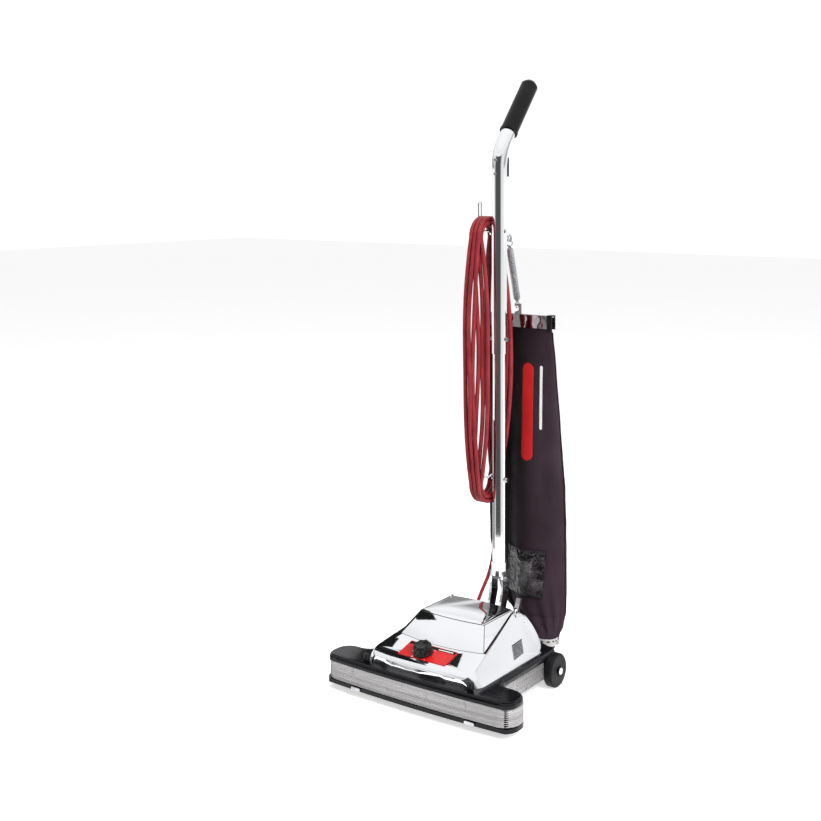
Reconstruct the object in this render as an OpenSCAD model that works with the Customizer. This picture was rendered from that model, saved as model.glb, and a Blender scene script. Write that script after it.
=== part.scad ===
// Wide-track upright vacuum cleaner: chrome hood over a T-shaped base, cloth bag behind a
// tilting tube handle. Millimetres. +Z is up, the nozzle points to -Y, +X is the side of the
// bag's neck. The modules are drawn with the handle axis over the origin; centred() then
// moves every node so that the origin is on the floor under the middle of the whole machine.

/* [Base] */
// Width across the furniture guard of the nozzle
nozzle_w = 434; // [424:2:444]
// Depth of the nozzle, front to back
nozzle_d = 78; // [76:1:84]
// Distance from the handle axis to the nozzle's front edge
reach = 316; // [314:1:320]
// Corner radius of the nozzle seen from above
nozzle_r = 34; // [26:1:36]
// Width across the furniture guard of the body behind the nozzle
body_w = 296; // [294:1:300]
// Height of the bottom plate above the floor
ground_gap = 14; // [12:1:16]
// Height of the casting's rim above the floor
rim_z = 68.5; // [67:0.5:69]

/* [Hood] */
// Half width of the hood at its lower edge
hood_half_w = 133; // [130:1:134]
// Height of the highest line of the hood
hood_top_z = 149; // [147:1:151]
// Thickness of the chromed sheet
hood_t = 2; // [1.5:0.5:2]

/* [Wheels] */
// Radius of a rear wheel
rear_wheel_r = 33; // [32:0.5:34]
// Tread width of a rear wheel
rear_wheel_w = 19; // [16:1:20]
// Radius of a front wheel
front_wheel_r = 18; // [17:0.5:18.5]

/* [Handle] */
// Outer radius of the upper handle tube
upper_r = 15.9; // [15.8:0.1:16.2]
// Outer radius of the lower handle tube
lower_r = 14.3; // [14.0:0.1:14.3]
// Height of the joint between the two tubes
joint_z = 646; // [630:2:660]
// Height at which the upper tube starts to bend back
bend_z = 1030; // [1028:2:1036]
// Radius of the handle bend
bend_r = 95; // [90:1:100]
// Length of the hand grip
grip_len = 142; // [130:1:146]

/* [Bag] */
// Half width of the bag's top clip
clip_half_w = 87; // [84:1:88]
// Height of the lower edge of the clip
clip_z = 695; // [690:1:700]
// Height of the clip channel
clip_h = 27; // [25:1:28]

/* [Hidden] */
$fn = 64;
gap = 0.05;            // running clearance on every radius
hull_fn = 32;

// levels of the base
plate_h = 8;
guard_z0 = ground_gap + plate_h;
guard_z1 = guard_z0 + 34.5;
nozzle_front = -reach;
nozzle_back = nozzle_front + nozzle_d;
body_rear = -10;
body_r = 20;
inner_corner_r = 26;
bag_back = 136.57;     // furthest point of the bag behind the handle axis
centre_y = (reach - bag_back) / 2;
bow_r = 3000;          // the front edge is part of a very large circle
guard_t = 5;
wall = 4;
guard_end_y = -71;

// drive line
shaft_z = 74;
shaft_r = 4;
pulley_r = 7;
roll_y = nozzle_front + 41;
roll_z = 38;
roll_r = 20;
groove_r = 15;
bristle_r = 24.5;
roll_half = 194;
belt_r = 2.4;

// front carriage
front_wheel_y = -213;
front_wheel_x = 56;
front_wheel_w = 14;

// rear wheels
rear_axle_y = -36;
rear_wheel_in = 142.5;

// handle pivot and bag pivot
pivot = [-20, 96];      // [y, z]
pin_r = 5;
duct_x = 92;
duct_z = 41;
duct_r = 18;
collar_y = 36;
collar_z = 60;
collar_r = 25;
collar_h = 14;

// knob on the sloping deck
deck_y0 = -276;
deck_z0 = 90.8;
deck_y1 = -214;
deck_z1 = 106.5;
deck_slope = atan((deck_z1 - deck_z0) / (deck_y1 - deck_y0));
knob_x = -12;
knob_y = -256;
knob_z = deck_z0 + (knob_y - deck_y0) * tan(deck_slope);
knob_r = 20;
knob_h = 20;

// handle details
grip_r = 18.5;
bend_angle = 40;
hook_z = 900;
hook_x = -48;
low_hook_z = 384;
switch_z = 1034;
switch_pin = [19, switch_z];    // [y, z] of the rocker's own pin
switch_pin_r = 1.2;
hanger_z = 884;
grip_start = 21;
switch_screw_z = [switch_z - 14.5, switch_z + 14.5];
joint_bolt_z = joint_z + 30;
fork_bolt_z = 178;
spring_top = [0, 40, 884];
spring_bottom = [0, 72, 735];
clip_y = 72;

// plate latches, hood and its windows
latch_x = [-132, 132];
latch_z = ground_gap + 4;
hood_z0 = rim_z + 0.1;
hood_rear_y = -78;
hood_bulge = 21;
hood_bulge_z = 108;
cheek_x = 62;          // inner face of the rounded rear end of each side
cheek_y = -58.6;
cheek_z = 105;
side_lean = 0.72;      // the hood's sides lean inwards by this much per unit of height
box_front_w = 99;
box_top_w = 75;
box_top_y = -174;
box_top_z = 145.5;
box_rear_y = -69;
hood_screw = [box_top_w + 1, -62];
clip_x = 121;
vent_y = [-146, -94];
vent_z = [80, 101];

// ---------------------------------------------------------------- shared shapes

// Rectangle with round corners, from its corner coordinates.
module rounded_rect(x0, x1, y0, y1, r) {
    translate([x0 + r, y0]) square([x1 - x0 - 2 * r, y1 - y0]);
    translate([x0, y0 + r]) square([x1 - x0, y1 - y0 - 2 * r]);
    for (x = [x0 + r, x1 - r], y = [y0 + r, y1 - r])
        translate([x, y]) circle(r);
}

// T-shaped outline of the base, moved inwards by inset.
module base_plan(inset) {
    nozzle_half = nozzle_w / 2 - inset;
    body_half = body_w / 2 - inset;
    fillet = inner_corner_r + inset;
    back = nozzle_back - inset;
    intersection() {
        rounded_rect(-nozzle_half, nozzle_half, nozzle_front + inset, back, nozzle_r - inset);
        translate([0, nozzle_front + bow_r]) circle(bow_r - inset, $fn = 400);
    }
    rounded_rect(-body_half, body_half, nozzle_front + nozzle_r, body_rear - inset, body_r - inset);
    for (side = [-1, 1])
        difference() {
            translate([side > 0 ? body_half - 1 : -body_half - fillet, back - 1])
                square([fillet + 1, fillet + 1]);
            translate([side * (body_half + fillet), back + fillet]) circle(fillet);
        }
}

// Moves a finished node so that the whole machine is centred over the origin.
module centred() translate([0, centre_y, 0]) children();

// The part of a plan that lies in front of the line y = limit.
module in_front_of(limit) {
    intersection() {
        children();
        translate([-400, limit - 600]) square([800, 600]);
    }
}

// Cylinder along X, from x0 to x1.
module rod_x(x0, x1, y, z, r) {
    translate([x0, y, z]) rotate([0, 90, 0]) cylinder(h = x1 - x0, r = r);
}

// Cylinder along Y, from y0 to y1.
module rod_y(y0, y1, x, z, r) {
    translate([x, y0, z]) rotate([-90, 0, 0]) cylinder(h = y1 - y0, r = r);
}

// Unit vector.
function unit(v) = v / norm(v);

// Round wire swept along a path, with a frame held square to the given axis.
module wire(path, r, axis, sides = 8) {
    last = len(path) - 1;
    rings = [
        for (i = [0 : last])
            let (
                ahead = path[min(i + 1, last)] - path[max(i - 1, 0)],
                side = unit(cross(axis, unit(ahead))),
                up = cross(unit(ahead), side)
            )
            for (k = [0 : sides - 1])
                path[i] + r * (cos(360 * k / sides) * side + sin(360 * k / sides) * up)
    ];
    walls = [
        for (i = [0 : last - 1], k = [0 : sides - 1], second = [false, true])
            let (
                here = i * sides,
                there = here + sides,
                next = (k + 1) % sides
            )
            second ? [here + k, there + next, here + next] : [here + k, there + k, there + next]
    ];
    start_cap = [[for (k = [0 : sides - 1]) k]];
    end_cap = [[for (k = [0 : sides - 1]) (last + 1) * sides - 1 - k]];
    polyhedron(points = rings, faces = concat(walls, start_cap, end_cap), convexity = 6);
}

// ---------------------------------------------------------------- base

// Outside of the casting: straight walls behind the guard, then a rounded rim.
module casting_shell() {
    translate([0, 0, guard_z0]) linear_extrude(guard_z1 - guard_z0) base_plan(guard_t);
    translate([0, 0, guard_z1]) linear_extrude(7) base_plan(guard_t - 3);
    translate([0, 0, guard_z1 + 7]) linear_extrude(3) base_plan(guard_t - 1.5);
    translate([0, 0, guard_z1 + 10]) linear_extrude(rim_z - guard_z1 - 10) base_plan(guard_t + 1);
}

// One-piece black casting: T-shaped shell, open below at the nozzle and under the hood.
module base_casting() color([0.06, 0.06, 0.07]) difference() {
    union() {
        difference() {
            casting_shell();
            // hollow inside, with a thin floor left behind the fan
            difference() {
                translate([0, 0, guard_z0 - 1])
                    linear_extrude(rim_z - guard_z0 - 3) base_plan(guard_t + wall);
                translate([-200, -150, guard_z0]) cube([400, 150, 2.5]);
            }
        }
        // bosses for the stub axles
        for (side = [-1, 1])
            rod_x(side > 0 ? 118 : -140, side > 0 ? 140 : -118, rear_axle_y, rear_wheel_r, 9);
    }
    // opening under the hood for motor, fan and belt
    translate([-64, -267, rim_z - 10]) cube([128, 205, 20]);
    // flats beside the rear wheels
    for (side = [-1, 1])
        translate([side > 0 ? 142 : -192, guard_end_y, 0]) cube([50, 80, rim_z - 1]);
    // room for the duct and its way out through the rear wall
    rod_y(-200, 0, duct_x, duct_z, duct_r + 0.3);
    // room for the motor shell in the floor
    rod_y(-160, -64, 0, shaft_z, 52.5);
    rod_x(-160, 160, rear_axle_y, rear_wheel_r, 4);
}

// Tray that closes the nozzle from below, with the slot for the brush.
module bottom_plate() color([0.05, 0.05, 0.05]) difference() {
    translate([0, 0, ground_gap]) linear_extrude(plate_h - gap) in_front_of(nozzle_back) base_plan(0.5);
    translate([0, 0, ground_gap + 2]) linear_extrude(plate_h)
        in_front_of(nozzle_back - 3) base_plan(guard_t + wall);
    for (side = [-1, 1])
        translate([side > 0 ? 15 : -195, roll_y - 25, 0]) cube([180, 50, 40]);
    translate([-11, roll_y - 25, 0]) cube([22, 50, 40]);
    for (x = latch_x) rod_y(nozzle_front - 5, nozzle_front + 11, x, latch_z, 2 + gap);
}

// Quarter-turn latch on the plate's front edge: a stem with a flat finger tab.
module plate_latch(x) color([0.8, 0.8, 0.82]) {
    rod_y(nozzle_front + 0.6, nozzle_front + 11, x, latch_z, 2);
    translate([x, nozzle_front + 2.4, latch_z]) rotate([90, 0, 0]) linear_extrude(2.2) {
        square([16, 6], center = true);
        for (end = [-8, 8]) translate([end, 0]) circle(3);
    }
}
module plate_latch_left() plate_latch(latch_x[0]);
module plate_latch_right() plate_latch(latch_x[1]);

// Soft ribbed bumper strip round the base.
module furniture_guard() color([0.62, 0.61, 0.62]) {
    ribs = 6;
    rib_pitch = (guard_z1 - guard_z0) / ribs;
    rib_gap = 1.6;
    difference() {
        union() {
            translate([0, 0, guard_z0 + 0.1])
                linear_extrude(guard_z1 - guard_z0 - 0.2) in_front_of(guard_end_y) base_plan(1.6);
            for (i = [0 : ribs - 1])
                translate([0, 0, guard_z0 + 0.1 + i * rib_pitch])
                    linear_extrude(rib_pitch - rib_gap) in_front_of(guard_end_y) base_plan(0);
        }
        translate([0, 0, guard_z0 - 1]) linear_extrude(50) base_plan(guard_t - gap);
    }
}

// ---------------------------------------------------------------- hood

// Side profile of the lower hood as [y, z] points, moved inwards by t.
function hood_profile(t) = concat(
    [[-291 + t, hood_z0 - 2 * t], [-291 + t, 80 - t], [-286 + t, 86.5 - t],
     [deck_y0 + t, deck_z0 - t], [deck_y1 + t, deck_z1 - t], [-82, 141 - t]],
    [for (a = [75 : -15 : 0])
        [hood_rear_y + (hood_bulge - t) * cos(a), hood_bulge_z + (34 - t) * sin(a)]],
    [[hood_rear_y + hood_bulge - t, hood_z0 - 2 * t]]
);

// Side profile of the rounded rear end of each side, beside the handle's pivot.
function cheek_profile(t) = concat(
    [[-110, hood_z0 - 2 * t], [-110, 120 - t], [-82, 139.5 - t]],
    [for (a = [80 : -14 : -60])
        [cheek_y + (hood_bulge - t) * cos(a), cheek_z + (34 - t) * sin(a)]],
    [[-68, hood_z0 - 2 * t]]
);

// Half width of the hood's leaning side at height z.
function hood_side(z) = hood_half_w - side_lean * (z - hood_z0);

// Raised box over the motor, moved inwards by t: side profile crossed with end profile.
module hood_box(t) intersection() {
    translate([-150, 0, 0]) rotate([90, 0, 90]) linear_extrude(300)
        polygon([[deck_y1 + 1.4 * t, deck_z1 - 14], [deck_y1 + 1.4 * t, deck_z1 - t],
                 [box_top_y + t, box_top_z - t], [box_top_y + 34, hood_top_z - t],
                 [box_rear_y - t, hood_top_z - t], [box_rear_y + 6 - t, hood_top_z - 6 - t],
                 [box_rear_y + 6 - t, 110]]);
    rotate([90, 0, 0]) linear_extrude(400)
        polygon([[-box_front_w + t, deck_z1 - 14], [box_front_w - t, deck_z1 - 14],
                 [box_front_w - t, deck_z1 - t], [box_top_w - t, box_top_z - t],
                 [box_top_w - 24, hood_top_z - t], [24 - box_top_w, hood_top_z - t],
                 [t - box_top_w, box_top_z - t], [t - box_front_w, deck_z1 - t]]);
}

// Outer or inner body of the hood, moved inwards by t.
module hood_body(t) {
    intersection() {
        union() {
            translate([-200, 0, 0]) rotate([90, 0, 90]) linear_extrude(400) polygon(hood_profile(t));
            for (side = [-1, 1])
                translate([side > 0 ? cheek_x + t : -200, 0, 0]) rotate([90, 0, 90])
                    linear_extrude(200 - cheek_x - t) polygon(cheek_profile(t));
        }
        rotate([90, 0, 0]) linear_extrude(400)
            polygon([[-hood_half_w + t, hood_z0 - 5], [hood_half_w - t, hood_z0 - 5],
                     [hood_half_w - t, hood_z0], [hood_side(150) - t, 150],
                     [t - hood_side(150), 150], [t - hood_half_w, hood_z0]]);
        translate([0, 0, hood_z0 - 5]) linear_extrude(100)
            rounded_rect(-hood_half_w - 1 + t, hood_half_w + 1 - t, -294 + t, -20, 30);
    }
    hood_box(t);
}

// Chromed sheet cover over motor and fan.
module hood() color([0.85, 0.86, 0.88]) difference() {
    hood_body(0);
    hood_body(hood_t);
    translate([-200, vent_y[0], vent_z[0]])
        cube([400, vent_y[1] - vent_y[0], vent_z[1] - vent_z[0]]);
    on_deck() cylinder(h = 60, r = 5 + gap, center = true);
    for (side = [-1, 1]) {
        translate([side * clip_x, -280, rim_z + 9.1]) rotate([90, 0, 0]) cylinder(h = 30, r = 2);
        translate([side * hood_screw[0], hood_screw[1], 120]) cylinder(h = 60, r = 2);
        translate([side * hood_screw[0], hood_screw[1], 143.9]) cylinder(h = 20, r = 4.1);
    }
}

// Black clips that hold the hood's front corners.
module hood_corner_clips() color([0.05, 0.05, 0.05]) for (side = [-1, 1])
    translate([side * clip_x, -291.6, rim_z + 0.1]) rotate([90, 0, 0]) difference() {
        linear_extrude(5) rounded_rect(-6.5, 6.5, 0, 16, 3);
        translate([0, 9, -1]) cylinder(h = 10, r = 2);
    }

// Small screws at the rear of the raised box, and the rivets of the corner clips.
module hood_screws() color([0.75, 0.75, 0.78]) for (side = [-1, 1]) {
    translate([side * hood_screw[0], hood_screw[1], 128]) cylinder(h = 16, r = 1.95);
    translate([side * hood_screw[0], hood_screw[1], 144]) cylinder(h = 2.5, r = 4);
    translate([side * clip_x, -298, rim_z + 9.1]) rotate([-90, 0, 0]) {
        cylinder(h = 9, r = 1.95);
        cylinder(h = 1.3, r = 2.6);
    }
}

// Places children on the sloping deck under the knob, +Z square to the deck.
module on_deck() translate([knob_x, knob_y, knob_z]) rotate([deck_slope, 0, 0]) children();

// Flat plate with the height scale, under the knob.
module label_plate() color([0.85, 0.08, 0.06]) on_deck() difference() {
    translate([-47, -20, 0.1]) cube([110, 46, 0.9]);
    cylinder(h = 10, r = 5.6, center = true);
}

// Places children on the hood's leaning side, +X outwards, at the middle of the windows.
module on_side(side) {
    middle = (vent_z[0] + vent_z[1]) / 2;
    translate([side * hood_side(middle), 0, middle])
        rotate([0, -side * atan(side_lean), 0]) mirror([side > 0 ? 0 : 1, 0, 0]) children();
}

// Louvred screens behind the windows in the hood's sides.
module side_vents() color([0.45, 0.45, 0.47]) for (side = [-1, 1]) on_side(side) {
    half_h = (vent_z[1] - vent_z[0]) / 2 * norm([1, side_lean]);
    sheet = hood_t / norm([1, side_lean]);
    translate([-sheet - 1.05, vent_y[0] - 3, -half_h - 3])
        cube([1, vent_y[1] - vent_y[0] + 6, 2 * half_h + 6]);
    for (y = [vent_y[0] + 2 : 4 : vent_y[1] - 3])
        translate([-sheet - 0.5, y, 2.5 - half_h]) cube([sheet + 0.2, 1.6, 2 * half_h - 5]);
}

// Fluted knob with its stem and lifting cam, turned to set the nozzle height.
module height_knob() color([0.04, 0.04, 0.04]) on_deck() {
    difference() {
        union() {
            translate([0, 0, 1.4]) cylinder(h = 5, r = knob_r);
            translate([0, 0, 6.4]) cylinder(h = knob_h - 6.4, r = knob_r - 3);
        }
        for (a = [22.5 : 45 : 337.5]) rotate([0, 0, a])
            translate([knob_r, 0, 6]) cylinder(h = knob_h, r = 4.4);
        translate([-1.2, 4, knob_h - 1.2]) cube([2.4, 8, 3]);
    }
    translate([0, 0, -5.5]) cylinder(h = 8, r = 5);
    difference() {
        translate([2, 0, -7]) cylinder(h = 2, r = 11);
        translate([0, 7.5, -8]) cylinder(h = 4, r = 1.6);
    }
}

// ---------------------------------------------------------------- wheels

// Cross bar that carries the front wheels and is moved up and down by the knob.
module front_carriage() color([0.7, 0.7, 0.72]) {
    translate([-46, front_wheel_y - 5, front_wheel_r - 5]) cube([92, 10, 12]);
    rod_x(-66, 66, front_wheel_y, front_wheel_r, 3);
    translate([-30, front_wheel_y - 3, front_wheel_r + 5]) cube([10, 6, 12]);
    translate([-30, front_wheel_y - 30, front_wheel_r + 15]) cube([10, 32, 5]);
    translate([-25, front_wheel_y - 27, front_wheel_r + 15]) cylinder(h = 50, r = 2.5);
}

// Small plain wheel; x is its inner face.
module front_wheel(x) color([0.08, 0.08, 0.08]) difference() {
    rod_x(x, x + front_wheel_w, front_wheel_y, front_wheel_r, front_wheel_r);
    rod_x(x - 1, x + front_wheel_w + 1, front_wheel_y, front_wheel_r, 3 + gap);
}
module front_wheel_left() front_wheel(-front_wheel_x - front_wheel_w / 2);
module front_wheel_right() front_wheel(front_wheel_x - front_wheel_w / 2);

// Two stub axles fixed in bosses of the casting's side walls.
module rear_axles() color([0.7, 0.7, 0.72]) for (side = [-1, 1])
    rod_x(side > 0 ? 122 : -rear_wheel_in - rear_wheel_w - 4,
          side > 0 ? rear_wheel_in + rear_wheel_w + 4 : -122,
          rear_axle_y, rear_wheel_r, 3.95);

// Rear wheel with rounded shoulders and a dished outer face; side is +1 or -1.
module rear_wheel(side) color([0.09, 0.09, 0.1])
    translate([side * rear_wheel_in, rear_axle_y, rear_wheel_r]) rotate([0, side * 90, 0]) {
        shoulder = 3;
        difference() {
            union() {
                translate([0, 0, shoulder]) cylinder(h = rear_wheel_w - 2 * shoulder, r = rear_wheel_r);
                cylinder(h = shoulder, r1 = rear_wheel_r - shoulder, r2 = rear_wheel_r);
                translate([0, 0, rear_wheel_w - shoulder])
                    cylinder(h = shoulder, r1 = rear_wheel_r, r2 = rear_wheel_r - shoulder);
            }
            translate([0, 0, rear_wheel_w - 2]) cylinder(h = 4, r = 10);
            translate([0, 0, -1]) cylinder(h = rear_wheel_w + 2, r = 3.95 + gap);
        }
    }
module rear_wheel_left() rear_wheel(-1);
module rear_wheel_right() rear_wheel(1);

// Push-on caps on the axle ends.
module axle_caps() color([0.82, 0.82, 0.84]) for (side = [-1, 1])
    translate([side * (rear_wheel_in + rear_wheel_w - 1.9), rear_axle_y, rear_wheel_r])
        rotate([0, side * 90, 0]) difference() {
            cylinder(h = 6.5, r = 6.5);
            translate([0, 0, -1]) cylinder(h = 7, r = 3.95);
        }

// ---------------------------------------------------------------- motor and fan

fan_y0 = -192;
fan_y1 = -158;
fan_case_r = 45;
motor_y1 = -68;
motor_r = 49;
outlet_y = -174;
outlet_z = 49;

// Scroll case round the fan, with its side outlet and the bearing seat behind.
module fan_housing() color([0.3, 0.3, 0.32]) difference() {
    union() {
        rod_y(fan_y0, fan_y1, 0, shaft_z, fan_case_r);
        rod_x(20, duct_x - duct_r - 0.5, outlet_y, outlet_z, 14);
    }
    rod_y(fan_y0 - 1, fan_y1 - 10, 0, shaft_z, fan_case_r - 3);
    rod_x(30, 200, outlet_y, outlet_z, 12);
    rod_y(fan_y1 - 11, fan_y1 + 1, 0, shaft_z, 11);
}

// Front cover of the fan case with the air inlet round the shaft.
module fan_cover() color([0.35, 0.35, 0.37]) difference() {
    rod_y(fan_y0 - 3, fan_y0 - 0.05, 0, shaft_z, fan_case_r);
    rod_y(fan_y0 - 5, fan_y0 + 1, 0, shaft_z, 20);
}

// Drawn steel motor shell with the rear bearing seat.
module motor_housing() color([0.25, 0.26, 0.28]) difference() {
    rod_y(fan_y1 + 0.05, motor_y1, 0, shaft_z, motor_r);
    rod_y(fan_y1 - 1, motor_y1 - 6, 0, shaft_z, motor_r - 2.5);
    rod_y(motor_y1 - 7, motor_y1 + 1, 0, shaft_z, 9);
    for (a = [45 : 90 : 315])
        translate([0, 0, shaft_z]) rotate([0, a, 0]) rod_y(motor_y1 - 8, motor_y1 + 1, 30, 0, 6);
}

// Laminated field ring with two pole shoes.
module motor_stator() color([0.45, 0.3, 0.2]) difference() {
    rod_y(-148, -104, 0, shaft_z, motor_r - 2.6);
    rod_y(-149, -103, 0, shaft_z, 26);
    intersection() {
        rod_y(-149, -103, 0, shaft_z, 38);
        translate([-45, -149, shaft_z - 12]) cube([90, 46, 24]);
    }
}

// Pair of carbon brushes in their holders, bearing on the commutator.
module carbon_brushes() color([0.72, 0.55, 0.25]) for (side = [-1, 1])
    rod_x(side > 0 ? 14.6 : -44, side > 0 ? 44 : -14.6, -88, shaft_z, 4);

// Ball bearing in the fan case's rear wall.
module front_bearing() color([0.7, 0.7, 0.75]) difference() {
    rod_y(fan_y1 - 9.9, fan_y1 - 0.1, 0, shaft_z, 10.95);
    rod_y(fan_y1 - 11, fan_y1 + 1, 0, shaft_z, shaft_r + gap);
}

// Sleeve bearing in the motor shell's rear wall.
module rear_bearing() color([0.7, 0.6, 0.35]) difference() {
    rod_y(motor_y1 - 8, motor_y1, 0, shaft_z, 8.95);
    rod_y(motor_y1 - 9, motor_y1 + 1, 0, shaft_z, shaft_r + gap);
}

// Rotor core, commutator and shaft, which turn together.
module armature() color([0.6, 0.45, 0.3]) {
    rod_y(-243, -66, 0, shaft_z, shaft_r);
    difference() {
        rod_y(-146, -106, 0, shaft_z, 24.5);
        for (a = [0 : 30 : 330])
            translate([0, 0, shaft_z]) rotate([0, a, 0]) rod_y(-147, -105, 24.5, 0, 2);
    }
    rod_y(-97, -80, 0, shaft_z, 14.4);
}

// Open fan wheel: hub, back plate and radial blades.
module impeller() color([0.55, 0.56, 0.58]) difference() {
    union() {
        rod_y(-190, -170, 0, shaft_z, 9);
        rod_y(-172.5, -169.5, 0, shaft_z, 39);
        for (a = [0 : 60 : 300])
            translate([0, 0, shaft_z]) rotate([0, a, 0])
                translate([8, -188, -1.2]) cube([30, 16.5, 2.4]);
    }
    rod_y(-195, -165, 0, shaft_z, shaft_r + 0.01);
}

pulley_y = -235;

// Grooved pulley on the shaft's front end, coned where the belt runs off it.
module drive_pulley() color([0.75, 0.75, 0.78]) difference() {
    union() {
        rod_y(pulley_y, pulley_y + 7, 0, shaft_z, pulley_r);
        rod_y(pulley_y + 4, pulley_y + 7, 0, shaft_z, pulley_r + 2);
        translate([0, pulley_y + 0.1, shaft_z]) rotate([90, 0, 0])
            cylinder(h = 6, r1 = pulley_r, r2 = pulley_r - 2);
    }
    rod_y(pulley_y - 9, pulley_y + 9, 0, shaft_z, shaft_r + 0.01);
}

// Round rubber belt with a quarter twist: over the pulley, then round the brush roll.
module drive_belt() color([0.1, 0.1, 0.1]) {
    up_r = pulley_r + belt_r + 0.15;
    low_r = groove_r + belt_r + 0.15;
    lean = atan2(shaft_z - roll_z, pulley_y - roll_y);
    spread = acos(low_r / norm([shaft_z - roll_z, pulley_y - roll_y]));
    steps = 18;
    over = [for (i = [0 : steps]) let (a = 180 - 180 * i / steps)
        [up_r * cos(a), pulley_y, shaft_z + up_r * sin(a)]];
    under = [for (i = [0 : steps]) let (a = lean + spread + (360 - 2 * spread) * i / steps)
        [0, roll_y + low_r * cos(a), roll_z + low_r * sin(a)]];
    closed_wire(concat(over, under), belt_r);
}

// Closed round wire through the points of a loop.
module closed_wire(path, r, sides = 8) {
    n = len(path);
    centre = [0, (pulley_y + roll_y) / 2, (shaft_z + roll_z) / 2];
    rings = [
        for (i = [0 : n - 1])
            let (
                ahead = unit(path[(i + 1) % n] - path[(i + n - 1) % n]),
                side = unit(cross(ahead, path[i] - centre)),
                up = cross(ahead, side)
            )
            for (k = [0 : sides - 1])
                path[i] + r * (cos(360 * k / sides) * side + sin(360 * k / sides) * up)
    ];
    walls = [
        for (i = [0 : n - 1], k = [0 : sides - 1])
            [i * sides + k, ((i + 1) % n) * sides + k,
             ((i + 1) % n) * sides + (k + 1) % sides, i * sides + (k + 1) % sides]
    ];
    polyhedron(points = rings, faces = walls, convexity = 6);
}

// Steel brush roll with the belt groove in the middle and a stub at each end.
module brush_roll() color([0.6, 0.5, 0.35]) {
    rod_x(-roll_half, -9, roll_y, roll_z, roll_r);
    rod_x(9, roll_half, roll_y, roll_z, roll_r);
    rod_x(-9.5, 9.5, roll_y, roll_z, groove_r);
    rod_x(-roll_half - 8, roll_half + 8, roll_y, roll_z, shaft_r);
}

// Bristle tufts set round the roll along two spirals.
module bristles() color([0.1, 0.1, 0.1]) {
    tufts = 18;
    for (half = [-1, 1], i = [0 : tufts - 1], start = [0, 180])
        translate([half * (18 + i * 10), roll_y, roll_z]) rotate([start + half * i * 10, 0, 0])
            translate([0, 0, roll_r + 0.02]) cylinder(h = bristle_r - roll_r, r = 2.4, $fn = 16);
}

// Bearing blocks that hold the roll's stubs in the ends of the nozzle.
module roll_end_caps() color([0.15, 0.15, 0.16]) for (side = [-1, 1]) difference() {
    translate([side * 201 - 4.5, roll_y - 13, ground_gap + 2.1]) cube([9, 26, 48]);
    rod_x(side * 201 - 6, side * 201 + 6, roll_y, roll_z, shaft_r + gap);
}

// ---------------------------------------------------------------- exhaust

// Duct from the fan case along the right side to the rear wall.
module exhaust_duct() color([0.2, 0.2, 0.21]) difference() {
    rod_y(-194, body_rear - 0.1, duct_x, duct_z, duct_r);
    rod_y(-191, 10, duct_x, duct_z, duct_r - 2);
    rod_x(60, duct_x, outlet_y, outlet_z, 11);
}

elbow_r = 19.5;
elbow_bend = 20.5;

// Black elbow that turns the duct upwards behind the body.
module exhaust_elbow() color([0.05, 0.05, 0.05]) difference() {
    elbow_solid(elbow_r, 0);
    elbow_solid(elbow_r - 2.5, 1);
}

// Filled elbow of radius r, with both ends drawn out by extra.
module elbow_solid(r, extra) {
    translate([duct_x, collar_y - elbow_bend, duct_z + elbow_bend]) rotate([0, 90, 0])
        rotate_extrude(angle = 90, $fn = 96) translate([elbow_bend, 0]) circle(r);
    rod_y(body_rear + 0.1 - extra, collar_y - elbow_bend, duct_x, duct_z, r);
    translate([duct_x, collar_y, duct_z + elbow_bend]) cylinder(h = 5 + extra, r = r);
}

// Bright clamp band round the top of the elbow, where the bag's neck is tied.
module bag_collar() color([0.8, 0.8, 0.8]) difference() {
    translate([duct_x, collar_y, collar_z - collar_h / 2]) difference() {
        union() {
            cylinder(h = collar_h, r = collar_r);
            translate([collar_r - 2, -4, 3]) cube([7, 8, 8]);
        }
        translate([0, 0, -1]) cylinder(h = collar_h + 2, r = collar_r - 2);
    }
    elbow_solid(elbow_r + gap, 0);
}

// Rubber sleeve where the cord goes into the rear of the base.
module strain_relief() color([0.05, 0.05, 0.05]) translate([-32, -44, rim_z + 0.1]) difference() {
    union() {
        cylinder(h = 5, r = 8);
        cylinder(h = 30, r1 = 6.5, r2 = 5);
    }
    translate([0, 0, -1]) cylinder(h = 50, r = 4);
}

// ---------------------------------------------------------------- handle pivot

// Block on the rear deck that carries the handle's pivot pin.
module pivot_bracket() color([0.5, 0.5, 0.52]) difference() {
    union() {
        translate([-10.8, pivot[0] - 11, rim_z + 0.1]) cube([21.6, 18, pivot[1] - rim_z]);
        rod_x(-10.8, 10.8, pivot[0], pivot[1], 11);
    }
    rod_x(-20, 20, pivot[0], pivot[1], pin_r - 0.02);
}

// Pin of the handle pivot.
module pivot_pin() color([0.75, 0.75, 0.78]) {
    rod_x(-19, 19, pivot[0], pivot[1], pin_r - 0.03);
    for (side = [-1, 1]) rod_x(side > 0 ? 18 : -21, side > 0 ? 21 : -18, pivot[0], pivot[1], 7.5);
}

lever = [-36, 82];      // [y, z] of the release lever's pin
lever_x = 51;

// Foot lever that frees the handle, with a bright tip above the hood's rear edge.
module release_lever() color([0.82, 0.82, 0.84])
    translate([lever_x - 5, 0, 0]) rotate([90, 0, 90]) linear_extrude(10) difference() {
        union() {
            polygon([[lever[0] - 3, lever[1] + 4], [lever[0] + 4, lever[1]], [lever[0] + 30, 136],
                     [lever[0] + 34, 146], [lever[0] + 28, 148], [lever[0] + 24, 138]]);
            translate(lever) circle(6);
        }
        translate(lever) circle(3 + gap);
    }

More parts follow.
